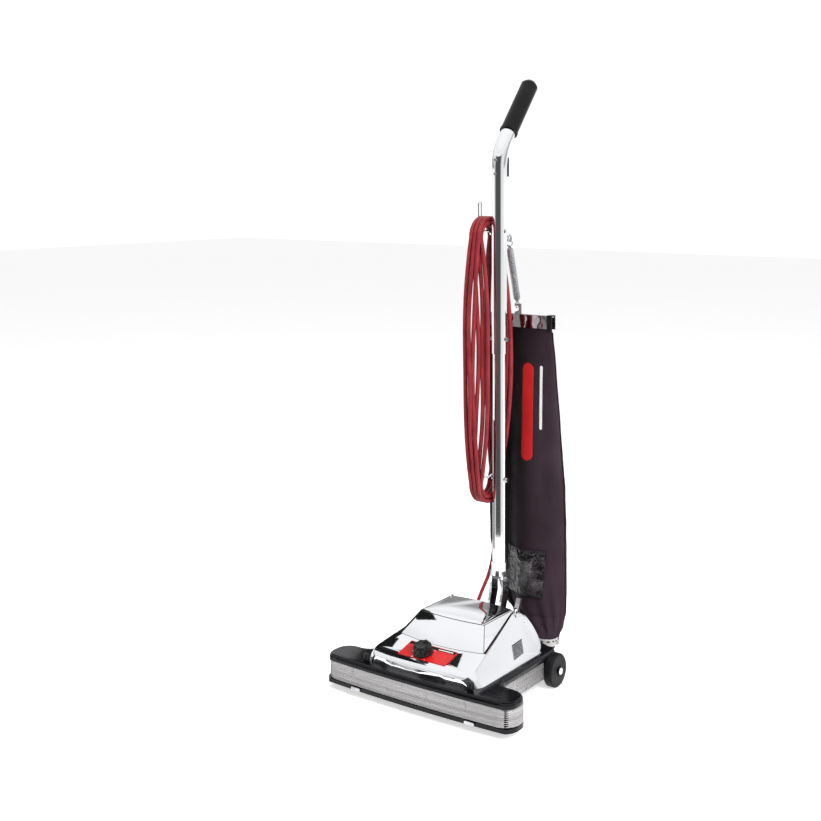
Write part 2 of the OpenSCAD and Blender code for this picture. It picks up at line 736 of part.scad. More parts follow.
// Pin and lugs of the release lever.
module lever_pin() color([0.6, 0.6, 0.62]) {
    rod_x(lever_x - 9, lever_x + 9, lever[0], lever[1], 3);
    for (x = [lever_x - 9, lever_x + 6])
        translate([x, lever[0] - 6, rim_z + 0.1]) cube([3, 12, 18]);
}

// ---------------------------------------------------------------- handle

// Socket of the tube: a sleeve above, two flattened prongs below.
module handle_fork() color([0.85, 0.86, 0.88]) difference() {
    union() {
        translate([0, 0, 186]) cylinder(h = 27, r = lower_r + 2);
        for (side = [-1, 1]) translate([side > 0 ? 11 : -16, 0, 0])
            rotate([90, 0, 90]) linear_extrude(5) {
                polygon([[-11, 196], [11, 196], [12, 150], [pivot[0] + 12, pivot[1]],
                         [pivot[0] - 12, pivot[1]], [-14, 150]]);
                translate(pivot) circle(12);
            }
    }
    translate([0, 0, 190]) cylinder(h = 40, r = lower_r + gap);
    rod_x(-30, 30, pivot[0], pivot[1], pin_r + gap - 0.03);
    rod_x(-30, 30, 0, fork_bolt_z, 3);
}

// Cross bolt and nut that clamp the prongs together.
module fork_bolt() color([0.75, 0.75, 0.78]) {
    rod_x(-19, 19, 0, fork_bolt_z, 2.95);
    rod_x(16.1, 20, 0, fork_bolt_z, 5);
    rod_x(-20, -16.1, 0, fork_bolt_z, 5);
}

// Lower tube: plain, with the cross holes of its bolts.
module lower_tube() color([0.85, 0.86, 0.88]) difference() {
    translate([0, 0, 190.1]) cylinder(h = joint_bolt_z + 20 - 190.1, r = lower_r);
    translate([0, 0, 189]) cylinder(h = joint_bolt_z + 30 - 190, r = lower_r - 1.5);
    rod_x(-30, 30, 0, joint_bolt_z, 2.5);
    rod_x(-30, 30, 0, low_hook_z, 3);
}

// Bolt that locks the two tubes together.
module joint_bolt() color([0.75, 0.75, 0.78]) {
    rod_x(-19, 19, 0, joint_bolt_z, 2.45);
    rod_x(16.1, 19.5, 0, joint_bolt_z, 4.5);
    rod_x(-19, -16.1, 0, joint_bolt_z, 4.5);
}

// Places children on the straight upper end of the tube, at a distance from the bend.
module along_grip(distance)
    translate([0, bend_r * (1 - cos(bend_angle)), bend_z + bend_r * sin(bend_angle)])
        rotate([-bend_angle, 0, 0]) translate([0, 0, distance]) children();

// Solid outline of the upper tube, of radius r. The bend is drawn a hair thinner, so that
// the straight lengths end in clean circles.
module upper_path(r) {
    lap = 0.5;
    translate([0, 0, joint_z]) cylinder(h = bend_z - joint_z + lap, r = r);
    translate([0, bend_r, bend_z]) rotate([90, 0, -90])
        rotate_extrude(angle = bend_angle, $fn = 96) translate([bend_r, 0]) circle(r - 0.03);
    along_grip(-lap) cylinder(h = grip_start + grip_len - 6 + lap, r = r);
}

// Upper tube with its bend.
module upper_tube() color([0.85, 0.86, 0.88]) difference() {
    upper_path(upper_r);
    translate([0, 0, joint_z - 1]) cylinder(h = bend_z - joint_z - 10, r = upper_r - 1.5);
    rod_x(-30, 30, 0, joint_bolt_z, 2.5);
    rod_x(-30, 30, 0, hook_z, 3);
    rod_y(0, 30, 0, hanger_z, 3);
    for (z = switch_screw_z) rod_y(-30, 30, 0, z, 1.6);
}

// Black rubber grip, closed at its end.
module hand_grip() color([0.04, 0.04, 0.04]) along_grip(grip_start) difference() {
    union() {
        cylinder(h = grip_len - 8, r = grip_r);
        translate([0, 0, grip_len - 8]) cylinder(h = 8, r1 = grip_r, r2 = grip_r - 6);
        cylinder(h = 5, r = grip_r + 1.2);
    }
    translate([0, 0, -1]) cylinder(h = grip_len - 5, r = upper_r + gap);
}

// Bezel of the switch on the rear of the tube.
module switch_plate() color([0.05, 0.05, 0.05]) difference() {
    translate([-10, 8, switch_z - 20]) cube([20, 14, 40]);
    upper_path(upper_r + gap);
    translate([-6.5, 8, switch_z - 9]) cube([13, 20, 18]);
    for (z = switch_screw_z) rod_y(0, 30, 0, z, 1.6);
    rod_x(-8.5, 8.5, switch_pin[0], switch_pin[1], switch_pin_r + gap);
}

// Rocker that is pressed at its upper or lower end.
module switch_rocker() color([0.7, 0.1, 0.08]) {
    translate([-6, switch_pin[0], switch_pin[1]]) rotate([90, 0, 90]) linear_extrude(12)
        polygon([[-1.4, -5], [2.2, -8], [5, -7.5], [2.8, 0], [3.2, 7.5], [1.6, 8], [-1.4, 5]]);
    rod_x(-8, 8, switch_pin[0], switch_pin[1], switch_pin_r);
}

// Screws that hold the switch, heads on the front of the tube.
module switch_screws() color([0.5, 0.5, 0.52]) for (z = switch_screw_z) {
    rod_y(-17, 20, 0, z, 1.5);
    rod_y(-18, -16.2, 0, z, 3);
}

// Wire cord hook: two parallel wires out from the tube, turned and joined at the end.
// rise is the height of the turned end, negative when it points down.
module cord_hook(z, rise) {
    wire_r = 2.2;
    half = 5.5;
    for (side = [-1, 1]) {
        rod_x(hook_x, -17, side * half, z, wire_r);
        translate([hook_x, side * half, z]) sphere(wire_r);
        translate([hook_x, side * half, min(z, z + rise)]) cylinder(h = abs(rise), r = wire_r);
    }
    translate([hook_x, 0, z + rise]) rotate([90, 0, 90]) rotate([0, 0, rise > 0 ? 0 : 180])
        rotate_extrude(angle = 180) translate([half, 0]) circle(wire_r);
    rod_x(-19.5, -16.5, 0, z, 9);
    rod_x(-18, 18, 0, z, 2.95);
    rod_x(16.5, 20, 0, z, 5);
}
module upper_cord_hook() color([0.85, 0.86, 0.88]) cord_hook(hook_z, 56);
module lower_cord_hook() color([0.85, 0.86, 0.88]) cord_hook(low_hook_z, -34);

// Eye behind the tube from which the bag's spring hangs.
module spring_hanger() color([0.8, 0.8, 0.82]) {
    rod_y(8, 34.5, 0, hanger_z, 2.9);
    rod_y(16.2, 18.5, 0, hanger_z, 6);
    translate([0, 40, hanger_z]) rotate([0, 90, 0]) rotate_extrude() translate([6.5, 0]) circle(2);
}

// ---------------------------------------------------------------- cord

cord_r = 3.5;
cord_turns = 3;
coil_top = 887;
coil_bottom = 378;
coil_y = -6;

// Point on a long loop round both hooks; u counts turns, rho is the radius at the ends.
function coil_point(x, u, rho) =
    let (t = (u - floor(u)) * 2, a = 180 * (t - floor(t)))
    t < 1 ? [x, coil_y - rho * cos(a), coil_top + rho * sin(a)]
          : [x, coil_y + rho * cos(a), coil_bottom - rho * sin(a)];

// Coil wound outwards along the hooks in an inner layer and back in an outer layer.
module power_cord() color([0.55, 0.08, 0.16]) {
    steps = 24;
    pitch = 2 * cord_r + 0.1;
    x0 = -upper_r - cord_r - 0.6;
    layer = [for (i = [0 : steps * cord_turns]) i / steps];
    inner = [for (u = layer) coil_point(x0 - pitch * u, u + 0.02, 31)];
    outer = [for (u = layer) coil_point(x0 - pitch * (cord_turns - u), u + 0.02, 40)];
    wire(inner, cord_r, [1, 0.01, 0.02]);
    wire(outer, cord_r, [1, 0.01, 0.02]);
}

// End of the cord that hangs from the coil towards the base.
module cord_lead() color([0.55, 0.08, 0.16]) {
    steps = 12;
    wire([for (i = [0 : steps]) let (u = i / steps)
          [-31 - 3 * sin(180 * u), 26 - 30 * u * u, 320 - 125 * u]], cord_r, [1, 0.01, 0.02]);
}

// ---------------------------------------------------------------- bag

coil_r = 5;
spring_wire_r = 1.1;
hook_ring_r = 7;

// Coil spring with a ring at each end, bent from one wire: lower ring, coil, upper ring.
module bag_spring() color([0.7, 0.7, 0.72]) {
    ring_top = spring_top + [0, 0, -hook_ring_r - 3.2];
    ring_bottom = spring_bottom + [0, 0, hook_ring_r];
    start = ring_bottom + [0, 0, hook_ring_r];
    finish = ring_top - [0, 0, hook_ring_r];
    step_angle = 30;
    coil_angle = 13 * 360 + 270;
    lower = [for (a = [130 : 20 : 450]) ring_bottom + hook_ring_r * [0, cos(a), sin(a)]];
    coil = [for (a = [0 : step_angle : coil_angle])
        start + a / coil_angle * (finish - start) + coil_r * [cos(a - 90), sin(a - 90), 0]];
    upper = [for (a = [270 : 20 : 590]) ring_top + hook_ring_r * [cos(a), 0, sin(a)]];
    wire(concat(lower, coil, upper), spring_wire_r, [1, 1, 1], 6);
}

// One flat slice of the bag: an ellipse at height z.
module bag_slice(s, t) translate([s[1], s[2], s[0]]) scale([s[3] - t, max(s[4] - t, 1), 1])
    cylinder(h = 0.01, r = 1, $fn = hull_fn);

// Height, centre x, centre y, half width, half depth, from the top fold to the neck.
bag_slices = [
    [716, 0, 72, 84, 3.6], [693, 0, 72, 84, 3.6], [640, 2, 76, 86, 20], [520, 6, 84, 88, 34],
    [360, 11, 92, 90, 43], [230, 12, 92, 90, 44], [150, 30, 84, 78, 40], [112, 48, 78, 62, 38],
    [84, 62, 70, 46, 32], [70, 68, 66, 30, 22]
];

// Cloth bag as a hollow shell, cut clear of the elbow it swings on.
module bag_body(t) for (i = [0 : len(bag_slices) - 2]) hull() {
    bag_slice(bag_slices[i], t);
    bag_slice(bag_slices[i + 1], t);
}
module bag() color([0.2, 0.15, 0.19]) difference() {
    bag_body(0);
    translate([0, 0, -0.5]) intersection() {
        bag_body(2.5);
        translate([-200, -100, 0]) cube([400, 400, 700]);
    }
    translate([duct_x, collar_y, collar_z]) sphere(33);
}

// Chrome channel that pinches the folded top of the bag, with an open hook on top.
module bag_clip() color([0.85, 0.86, 0.88]) {
    difference() {
        translate([-clip_half_w, clip_y - 6, clip_z]) cube([2 * clip_half_w, 12, clip_h]);
        translate([-100, clip_y - 4.2, clip_z - 1]) cube([200, 8.4, clip_h - 1.5]);
    }
    translate([0, clip_y + 1.25, clip_z + clip_h]) rotate([90, 0, 0]) linear_extrude(2.5)
        polygon([[-6, -0.5], [10, -0.5], [10, 22], [-6, 22], [-6, 17], [4, 17], [4, 8], [-6, 4]]);
}

// Black caps pushed over both ends of the channel.
module clip_end_caps() color([0.04, 0.04, 0.04]) for (side = [-1, 1]) difference() {
    translate([side * (clip_half_w - 5) - 6, clip_y - 8, clip_z - 1]) cube([12, 16, clip_h + 3]);
    translate([-100, clip_y - 6, clip_z - 2]) cube([200, 12, clip_h + 2]);
}

// Flat clear pocket on the bag's front.
module bag_pocket() color([0.6, 0.6, 0.62])
    translate([28, 42.4, 184.5]) rotate([-4.9, 0, 0]) cube([96, 0.9, 95], center = true);

// ---------------------------------------------------------------- parts

centred() base_casting();
centred() bottom_plate();
centred() plate_latch_left();
centred() plate_latch_right();
centred() furniture_guard();
centred() hood();
centred() hood_corner_clips();
centred() hood_screws();
centred() label_plate();
centred() side_vents();
centred() height_knob();
centred() front_carriage();
centred() front_wheel_left();
centred() front_wheel_right();
centred() rear_axles();
centred() rear_wheel_left();
centred() rear_wheel_right();
centred() axle_caps();
centred() fan_housing();
centred() fan_cover();
centred() motor_housing();
centred() motor_stator();
centred() carbon_brushes();
centred() front_bearing();
centred() rear_bearing();
centred() armature();
centred() impeller();
centred() drive_pulley();
centred() drive_belt();
centred() brush_roll();
centred() bristles();
centred() roll_end_caps();
centred() exhaust_duct();
centred() exhaust_elbow();
centred() bag_collar();
centred() strain_relief();
centred() pivot_bracket();
centred() pivot_pin();
centred() release_lever();
centred() lever_pin();
centred() handle_fork();
centred() fork_bolt();
centred() lower_tube();
centred() joint_bolt();
centred() upper_tube();
centred() hand_grip();
centred() switch_plate();
centred() switch_rocker();
centred() switch_screws();
centred() upper_cord_hook();
centred() lower_cord_hook();
centred() spring_hanger();
centred() power_cord();
centred() cord_lead();
centred() bag_spring();
centred() bag();
centred() bag_clip();
centred() clip_end_caps();
centred() bag_pocket();
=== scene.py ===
"""Looks of the upright vacuum cleaner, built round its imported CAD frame. Metres, same frame."""
import math

import bmesh
import bpy
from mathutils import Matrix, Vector, noise


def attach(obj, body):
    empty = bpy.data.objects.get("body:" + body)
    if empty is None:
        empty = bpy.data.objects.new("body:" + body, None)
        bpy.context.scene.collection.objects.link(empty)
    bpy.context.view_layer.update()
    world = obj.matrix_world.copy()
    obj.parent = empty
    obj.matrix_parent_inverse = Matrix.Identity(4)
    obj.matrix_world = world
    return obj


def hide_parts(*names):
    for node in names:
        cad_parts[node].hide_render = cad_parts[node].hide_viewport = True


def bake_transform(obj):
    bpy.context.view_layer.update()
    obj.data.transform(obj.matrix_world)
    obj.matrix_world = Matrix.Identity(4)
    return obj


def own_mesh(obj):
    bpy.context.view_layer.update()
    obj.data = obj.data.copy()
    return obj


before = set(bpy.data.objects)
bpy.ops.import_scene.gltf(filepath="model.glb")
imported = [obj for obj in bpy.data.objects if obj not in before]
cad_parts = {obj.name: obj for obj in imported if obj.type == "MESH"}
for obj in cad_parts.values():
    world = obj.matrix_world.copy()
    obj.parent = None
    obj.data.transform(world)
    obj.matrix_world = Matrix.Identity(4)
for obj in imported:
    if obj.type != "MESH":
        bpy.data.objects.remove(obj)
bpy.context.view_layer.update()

MM = 0.001
# the handle's axis stands this far behind the middle of the whole machine, in millimetres
CENTRE_Y = 89.715
SCENE = bpy.context.scene


# ------------------------------------------------------------------ helpers

def mm(x, y, z):
    """Point given in millimetres from the foot of the handle's axis."""
    return Vector((x, y + CENTRE_Y, z)) * MM


def lerp(a, b, t):
    return a + (b - a) * t


def smooth(t):
    t = min(1.0, max(0.0, t))
    return t * t * (3 - 2 * t)


def make_object(name, verts, faces, material, shade_smooth=True):
    """Mesh object from points in metres."""
    mesh = bpy.data.meshes.new(name)
    mesh.from_pydata([tuple(v) for v in verts], [], faces)
    mesh.validate()
    mesh.update()
    obj = bpy.data.objects.new(name, mesh)
    SCENE.collection.objects.link(obj)
    obj.data.materials.append(material)
    bm = bmesh.new()
    bm.from_mesh(mesh)
    bmesh.ops.recalc_face_normals(bm, faces=bm.faces)
    bm.to_mesh(mesh)
    bm.free()
    for p in mesh.polygons:
        p.use_smooth = shade_smooth
    return obj


def loft(name, rings, material, closed=True, cap_start=False, cap_end=False, loop=False):
    """Skin through rings of equal length. loop joins the last ring to the first."""
    n = len(rings[0])
    verts = [p for ring in rings for p in ring]
    faces = []
    last = len(rings) if loop else len(rings) - 1
    around = n if closed else n - 1
    for i in range(last):
        a = i * n
        b = ((i + 1) % len(rings)) * n
        for k in range(around):
            k2 = (k + 1) % n
            faces.append((a + k, a + k2, b + k2, b + k))
    if cap_start:
        faces.append(tuple(range(n)))
    if cap_end:
        faces.append(tuple(range((len(rings) - 1) * n, len(rings) * n)))
    return make_object(name, verts, faces, material)


def sweep(name, path, radius, material, sides=12, closed=False):
    """Round tube along a path of points; radius is a number or one per point."""
    n = len(path)
    up = Vector((0.13, 0.07, 1)).normalized()
    rings = []
    side = None
    for i, p in enumerate(path):
        a = path[(i - 1) % n] if closed else path[max(i - 1, 0)]
        b = path[(i + 1) % n] if closed else path[min(i + 1, n - 1)]
        ahead = (b - a).normalized()
        if side is None:
            side = ahead.cross(up)
            if side.length < 0.1:
                side = ahead.cross(Vector((1, 0, 0)))
        side = (side - ahead * side.dot(ahead)).normalized()
        other = ahead.cross(side)
        r = radius[i] if isinstance(radius, list) else radius
        rings.append([
            p + (side * math.cos(2 * math.pi * k / sides)
                 + other * math.sin(2 * math.pi * k / sides)) * r
            for k in range(sides)
        ])
    return loft(name, rings, material, cap_start=not closed, cap_end=not closed, loop=closed)


def apply_modifiers(obj):
    """Makes the modifiers' result the object's own mesh."""
    bpy.context.view_layer.update()
    graph = bpy.context.evaluated_depsgraph_get()
    mesh = bpy.data.meshes.new_from_object(obj.evaluated_get(graph))
    obj.modifiers.clear()
    obj.data = mesh
    return obj


def soften(obj, width, segments=3, angle=28):
    """Rounded edges by a bevel modifier."""
    bevel = obj.modifiers.new("edge", "BEVEL")
    bevel.width = width * MM
    bevel.segments = segments
    bevel.limit_method = "ANGLE"
    bevel.angle_limit = math.radians(angle)
    bevel.harden_normals = True
    return obj


def smooth_by_angle(obj, degrees=35):
    for p in obj.data.polygons:
        p.use_smooth = True
    obj.data.set_sharp_from_angle(angle=math.radians(degrees))


def boolean(obj, cutter, operation):
    """Applies a boolean with cutter and removes it."""
    mod = obj.modifiers.new("cut", "BOOLEAN")
    mod.operation = operation
    mod.solver = "EXACT"
    mod.object = cutter
    apply_modifiers(obj)
    bpy.data.objects.remove(cutter)
    return obj


# ------------------------------------------------------------------ materials

class Nodes:
    """Short way of writing a material's node tree."""

    def __init__(self, name):
        self.mat = bpy.data.materials.new(name)
        self.mat.use_nodes = True
        self.tree = self.mat.node_tree
        self.bsdf = self.tree.nodes["Principled BSDF"]
        self.coord = self.tree.nodes.new("ShaderNodeTexCoord")

    def add(self, kind, **values):
        node = self.tree.nodes.new(kind)
        for key, value in values.items():
            if key in node.inputs:
                node.inputs[key].default_value = value
            else:
                setattr(node, key, value)
        return node

    def link(self, a, b):
        self.tree.links.new(a, b)

    def set(self, **values):
        for key, value in values.items():
            self.bsdf.inputs[key.replace("_", " ")].default_value = value

    def mapping(self, scale):
        m = self.add("ShaderNodeMapping")
        m.inputs["Scale"].default_value = scale
        self.link(self.coord.outputs["Object"], m.inputs["Vector"])
        return m.outputs["Vector"]

    def noise(self, scale, detail=3.0, stretch=(1, 1, 1)):
        n = self.add("ShaderNodeTexNoise")
        n.inputs["Scale"].default_value = scale
        n.inputs["Detail"].default_value = detail
        self.link(self.mapping(stretch), n.inputs["Vector"])
        return n.outputs["Fac"]

    def ramp(self, factor, stops):
        r = self.add("ShaderNodeValToRGB")
        elements = r.color_ramp.elements
        while len(elements) < len(stops):
            elements.new(0.5)
        for e, (pos, col) in zip(elements, stops):
            e.position = pos
            e.color = (*col, 1) if len(col) == 3 else col
        self.link(factor, r.inputs["Fac"])
        return r.outputs["Color"]

    def grey(self, factor, low, high, start=0.3, end=0.7):
        """Factor spread between two grey levels."""
        return self.ramp(factor, [(start, (low,) * 3), (end, (high,) * 3)])

    def bump(self, height, strength, distance):
        b = self.add("ShaderNodeBump")
        b.inputs["Strength"].default_value = strength
        b.inputs["Distance"].default_value = distance
        self.link(height, b.inputs["Height"])
        previous = self.bsdf.inputs["Normal"]
        if previous.is_linked:
            self.link(previous.links[0].from_socket, b.inputs["Normal"])
        self.link(b.outputs["Normal"], previous)
        return b


def chrome(name="chrome", tint=(0.93, 0.94, 0.95), rough=0.045, wear=0.05, dents=0.03):
    """Polished plate with smudges, fine drawing lines and a slightly uneven surface."""
    m = Nodes(name)
    m.set(Metallic=1.0)
    smudge = m.noise(9, 5)
    m.link(m.grey(smudge, rough, rough + wear, 0.35, 0.8), m.bsdf.inputs["Roughness"])
    m.link(m.ramp(smudge, [(0.3, tint), (0.75, tuple(c * 0.955 for c in tint))]),
           m.bsdf.inputs["Base Color"])
    m.bump(m.noise(420, 2, (1, 1, 0.05)), 0.012, 0.0004)
    m.bump(m.noise(26, 2), dents, 0.0008 + 0.004 * dents)
    return m.mat


def painted(name, low, high, rough=(0.12, 0.3), shine=0.3, grain=700, depth=0.05):
    """Enamel, plastic or rubber: colour drift, uneven gloss and fine grain."""
    m = Nodes(name)
    m.set(Specular_IOR_Level=shine)
    drift = m.noise(14, 6)
    m.link(m.ramp(drift, [(0.3, low), (0.75, high)]), m.bsdf.inputs["Base Color"])
    m.link(m.grey(m.noise(32, 6), rough[0], rough[1]), m.bsdf.inputs["Roughness"])
    m.bump(m.noise(grain, 2), depth, 0.0004)
    m.bump(m.noise(40, 3), depth * 0.6, 0.0012)
    return m.mat


def metal(name, low, high, rough=(0.22, 0.42), stretch=(1, 1, 1)):
    m = Nodes(name)
    m.set(Metallic=1.0)
    drift = m.noise(40, 5, stretch)
    m.link(m.ramp(drift, [(0.3, low), (0.7, high)]), m.bsdf.inputs["Base Color"])
    m.link(m.grey(m.noise(90, 4, stretch), rough[0], rough[1]), m.bsdf.inputs["Roughness"])
    m.bump(m.noise(500, 2, stretch), 0.08, 0.0004)
    return m.mat


def bumper():
    """Silver-grey bumper: soft lengthwise streaks between light and dark grey."""
    m = Nodes("bumper")
    m.set(Metallic=0.2, Specular_IOR_Level=0.4)
    streak = m.noise(7, 3, (0.3, 0.3, 16))
    m.link(m.ramp(streak, [(0.30, (0.24, 0.235, 0.24)), (0.5, (0.42, 0.41, 0.415)),
                           (0.70, (0.60, 0.59, 0.595))]), m.bsdf.inputs["Base Color"])
    m.link(m.grey(m.noise(60, 4), 0.25, 0.4), m.bsdf.inputs["Roughness"])
    m.bump(m.noise(300, 3, (0.1, 0.1, 1)), 0.04, 0.0005)
    return m.mat


def cloth():
    """Very dark aubergine woven cloth with a little sheen, its colour darkened by painted shade towards its
    left side (lower object X).
    """
    m = Nodes("cloth")
    m.set(Sheen_Weight=0.05, Sheen_Roughness=0.35, Specular_IOR_Level=0.12)
    m.bsdf.inputs["Sheen Tint"].default_value = (0.75, 0.55, 0.68, 1)
    drift = m.noise(9, 5)
    # painted shade: a factor from 0.12 at object X 0 and left of it up to 1.0 at X 65 mm, multiplied into
    # the colour in place of the shade beside the tube; it darkens that side seen from behind as well
    split = m.add("ShaderNodeSeparateXYZ")
    m.link(m.coord.outputs["Object"], split.inputs[0])
    shade = m.add("ShaderNodeMapRange")
    ends = {"From Min": 0.0, "From Max": 0.065, "To Min": 0.12, "To Max": 1.0}
    for socket, value in ends.items():
        shade.inputs[socket].default_value = value
    m.link(split.outputs["X"], shade.inputs["Value"])
    painted_shade = m.add("ShaderNodeMix", data_type="RGBA", blend_type="MULTIPLY")
    painted_shade.inputs["Factor"].default_value = 1.0
    aubergine = m.ramp(drift, [(0.3, (0.026, 0.015, 0.021)), (0.72, (0.044, 0.027, 0.037))])
    m.link(aubergine, painted_shade.inputs["A"])
    m.link(shade.outputs["Result"], painted_shade.inputs["B"])
    m.link(painted_shade.outputs["Result"], m.bsdf.inputs["Base Color"])
    m.link(m.grey(m.noise(30, 4), 0.42, 0.62), m.bsdf.inputs["Roughness"])
    for direction in ("X", "Z"):
        w = m.add("ShaderNodeTexWave", bands_direction=direction)
        w.inputs["Scale"].default_value = 420
        w.inputs["Distortion"].default_value = 0.6
        m.link(m.coord.outputs["Object"], w.inputs["Vector"])
        m.bump(w.outputs["Fac"], 0.12, 0.0003)
    m.bump(m.noise(60, 4, (1, 1, 0.35)), 0.3, 0.0018)
    return m.mat


def vinyl():
    """Clear crinkled pocket material: sharp highlights over a dark see-through sheet."""
    m = Nodes("vinyl")
    m.set(IOR=1.5, Alpha=0.55, Specular_IOR_Level=0.9)
    m.link(m.ramp(m.noise(26, 4), [(0.46, (0.006, 0.005, 0.006)), (0.62, (0.11, 0.105, 0.11))]),
           m.bsdf.inputs["Base Color"])
    m.link(m.grey(m.noise(35, 4), 0.04, 0.16), m.bsdf.inputs["Roughness"])
    m.bump(m.noise(70, 3), 1.0, 0.006)
    return m.mat


def cord_skin():
    m = Nodes("cord_skin")
    m.set(Specular_IOR_Level=0.35)
    m.link(m.ramp(m.noise(30, 5), [(0.3, (0.20, 0.014, 0.020)), (0.72, (0.33, 0.028, 0.036))]),
           m.bsdf.inputs["Base Color"])
    m.link(m.grey(m.noise(45, 4), 0.3, 0.5), m.bsdf.inputs["Roughness"])
    m.bump(m.noise(260, 3), 0.12, 0.0005)
    return m.mat


MAT = {
    "chrome": chrome(),
    "hood": chrome("hood_chrome", (0.90, 0.91, 0.925), 0.05, 0.05),
    "steel": metal("steel", (0.42, 0.42, 0.44), (0.66, 0.66, 0.68)),
    "iron": metal("iron", (0.13, 0.13, 0.14), (0.28, 0.27, 0.26), (0.4, 0.65)),
    "aluminium": metal("aluminium", (0.5, 0.51, 0.53), (0.72, 0.72, 0.73), (0.3, 0.5)),
    "brass": metal("brass", (0.5, 0.33, 0.12), (0.75, 0.55, 0.25)),
    # dark metal of the painted shade along the hood's creases and on the shoulders beside the raised box
    "crease_shade": metal("crease_shade", (0.03, 0.032, 0.034), (0.07, 0.072, 0.075), (0.12, 0.25)),
    "enamel": painted("enamel", (0.002, 0.002, 0.003), (0.006, 0.006, 0.008),
                      (0.12, 0.24), 0.22, 500, 0.03),
    "grip": painted("grip", (0.002, 0.002, 0.002), (0.007, 0.007, 0.007),
                    (0.30, 0.40), 0.20, 600, 0.04),
    "black": painted("black", (0.004, 0.004, 0.005), (0.011, 0.011, 0.012), (0.22, 0.40), 0.30),
    "matt": painted("matt", (0.006, 0.006, 0.007), (0.016, 0.016, 0.017),
                    (0.5, 0.75), 0.12, 500, 0.15),
    "rubber": painted("rubber", (0.004, 0.004, 0.004), (0.011, 0.011, 0.011),
                      (0.28, 0.5), 0.22, 600, 0.12),
    "wheel": painted("wheel", (0.003, 0.003, 0.004), (0.010, 0.010, 0.011),
                     (0.38, 0.6), 0.14, 400, 0.15),
    "red": painted("red", (0.60, 0.008, 0.010), (0.74, 0.016, 0.016), (0.2, 0.4), 0.3),
    "white": painted("white", (0.62, 0.61, 0.60), (0.8, 0.79, 0.78), (0.2, 0.4), 0.3),
    "print_red": painted("print_red", (0.40, 0.008, 0.010), (0.52, 0.016, 0.016),
                         (0.45, 0.7), 0.2, 420, 0.3),
    "print_white": painted("print_white", (0.62, 0.61, 0.61), (0.80, 0.79, 0.79),
                           (0.45, 0.7), 0.2, 420, 0.3),
    # painted reflection: the clip's chrome is tinted dark and reddish in place of the dark crimson it
    # mirrors
    "clip": chrome("clip_chrome_reflection", (0.50, 0.44, 0.46), 0.05, 0.05, 0.5),
    "roll": painted("roll", (0.22, 0.19, 0.14), (0.38, 0.33, 0.25), (0.3, 0.55), 0.2),
    "bumper": bumper(),
    "cloth": cloth(),
    "vinyl": vinyl(),
    "cord": cord_skin(),
}


# ------------------------------------------------------------------ CAD nodes that are kept

KEPT = {
    "enamel": ["base_casting", "exhaust_elbow", "bottom_plate"],
    "chrome": ["lower_tube", "upper_tube", "upper_cord_hook", "lower_cord_hook", "handle_fork",
               "axle_caps", "hood_screws", "release_lever"],
    "white": ["bag_collar"],
    "steel": ["plate_latch_left", "plate_latch_right", "rear_axles", "front_bearing", "lever_pin",
              "fork_bolt", "joint_bolt", "pivot_pin", "switch_screws", "spring_hanger",
              "front_carriage"],
    "iron": ["motor_housing", "motor_stator", "armature"],
    "aluminium": ["fan_cover", "impeller", "drive_pulley", "pivot_bracket"],
    "brass": ["carbon_brushes", "rear_bearing"],
    "black": ["switch_plate", "hood_corner_clips", "clip_end_caps", "strain_relief"],
    "matt": ["fan_housing", "exhaust_duct", "roll_end_caps", "bristles"],
    "rubber": ["drive_belt"],
    "grip": ["hand_grip"],
    "wheel": ["rear_wheel_left", "rear_wheel_right", "front_wheel_left", "front_wheel_right"],
    "clip": ["bag_clip"],
    "red": ["switch_rocker"],
    "roll": ["brush_roll"],
}

# width of the rounded edges in millimetres
EDGE = {
    "hand_grip": 2.5, "rear_wheel_left": 1.6, "rear_wheel_right": 1.6, "handle_fork": 1.4,
    "release_lever": 1.2, "bag_clip": 0.9, "clip_end_caps": 1.0, "switch_plate": 1.5,
    "hood_corner_clips": 1.2, "bottom_plate": 1.0, "bag_collar": 1.4,
    "exhaust_elbow": 0.8, "axle_caps": 1.2, "pivot_bracket": 1.0, "switch_rocker": 0.6,
    "plate_latch_left": 0.5, "plate_latch_right": 0.5, "base_casting": 0.6,
}


def dress_cad():
    """Materials and rounded edges for the CAD nodes that stay visible."""
    for material, nodes in KEPT.items():
        for name in nodes:
            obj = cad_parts[name]
            obj.data.materials.clear()
            obj.data.materials.append(MAT[material])
            smooth_by_angle(obj)
            if name in EDGE:
                soften(obj, EDGE[name])


# ------------------------------------------------------------------ base

HALF_W = 217
FRONT_Y = -316
BACK_Y = -238
BODY_HALF = 148
REAR_Y = -10
BOW_R = 3000
GUARD_END = -71


def arc(cx, cy, r, start, end, steps):
    return [(cx + r * math.cos(math.radians(lerp(start, end, i / steps))),
             cy + r * math.sin(math.radians(lerp(start, end, i / steps)))) for i in range(steps + 1)]


def base_outline(inset):
    """T-shaped outline of the base in millimetres, counter-clockwise, moved in by inset."""
    half = HALF_W - inset
    body = BODY_HALF - inset
    corner = 34 - inset
    fillet = 26 + inset
    rear_corner = 20 - inset
    front = FRONT_Y + inset
    back = BACK_Y - inset
    rear = REAR_Y - inset
    right = []
    for i in range(1, 9):
        x = (half - corner) * i / 8
        right.append((x, front + x * x / (2 * BOW_R)))
    bow = right[-1][1] - front
    right += arc(half - corner, front + bow + corner, corner, -90, 0, 14)[1:]
    right += arc(half - corner, back - corner, corner, 0, 90, 14)
    right += arc(body + fillet, back + fillet, fillet, -90, -180, 10)
    right += arc(body - rear_corner, rear - rear_corner, rear_corner, 0, 90, 6)
    left = [(-x, y) for x, y in reversed(right)]
    return [(0, front)] + right + left


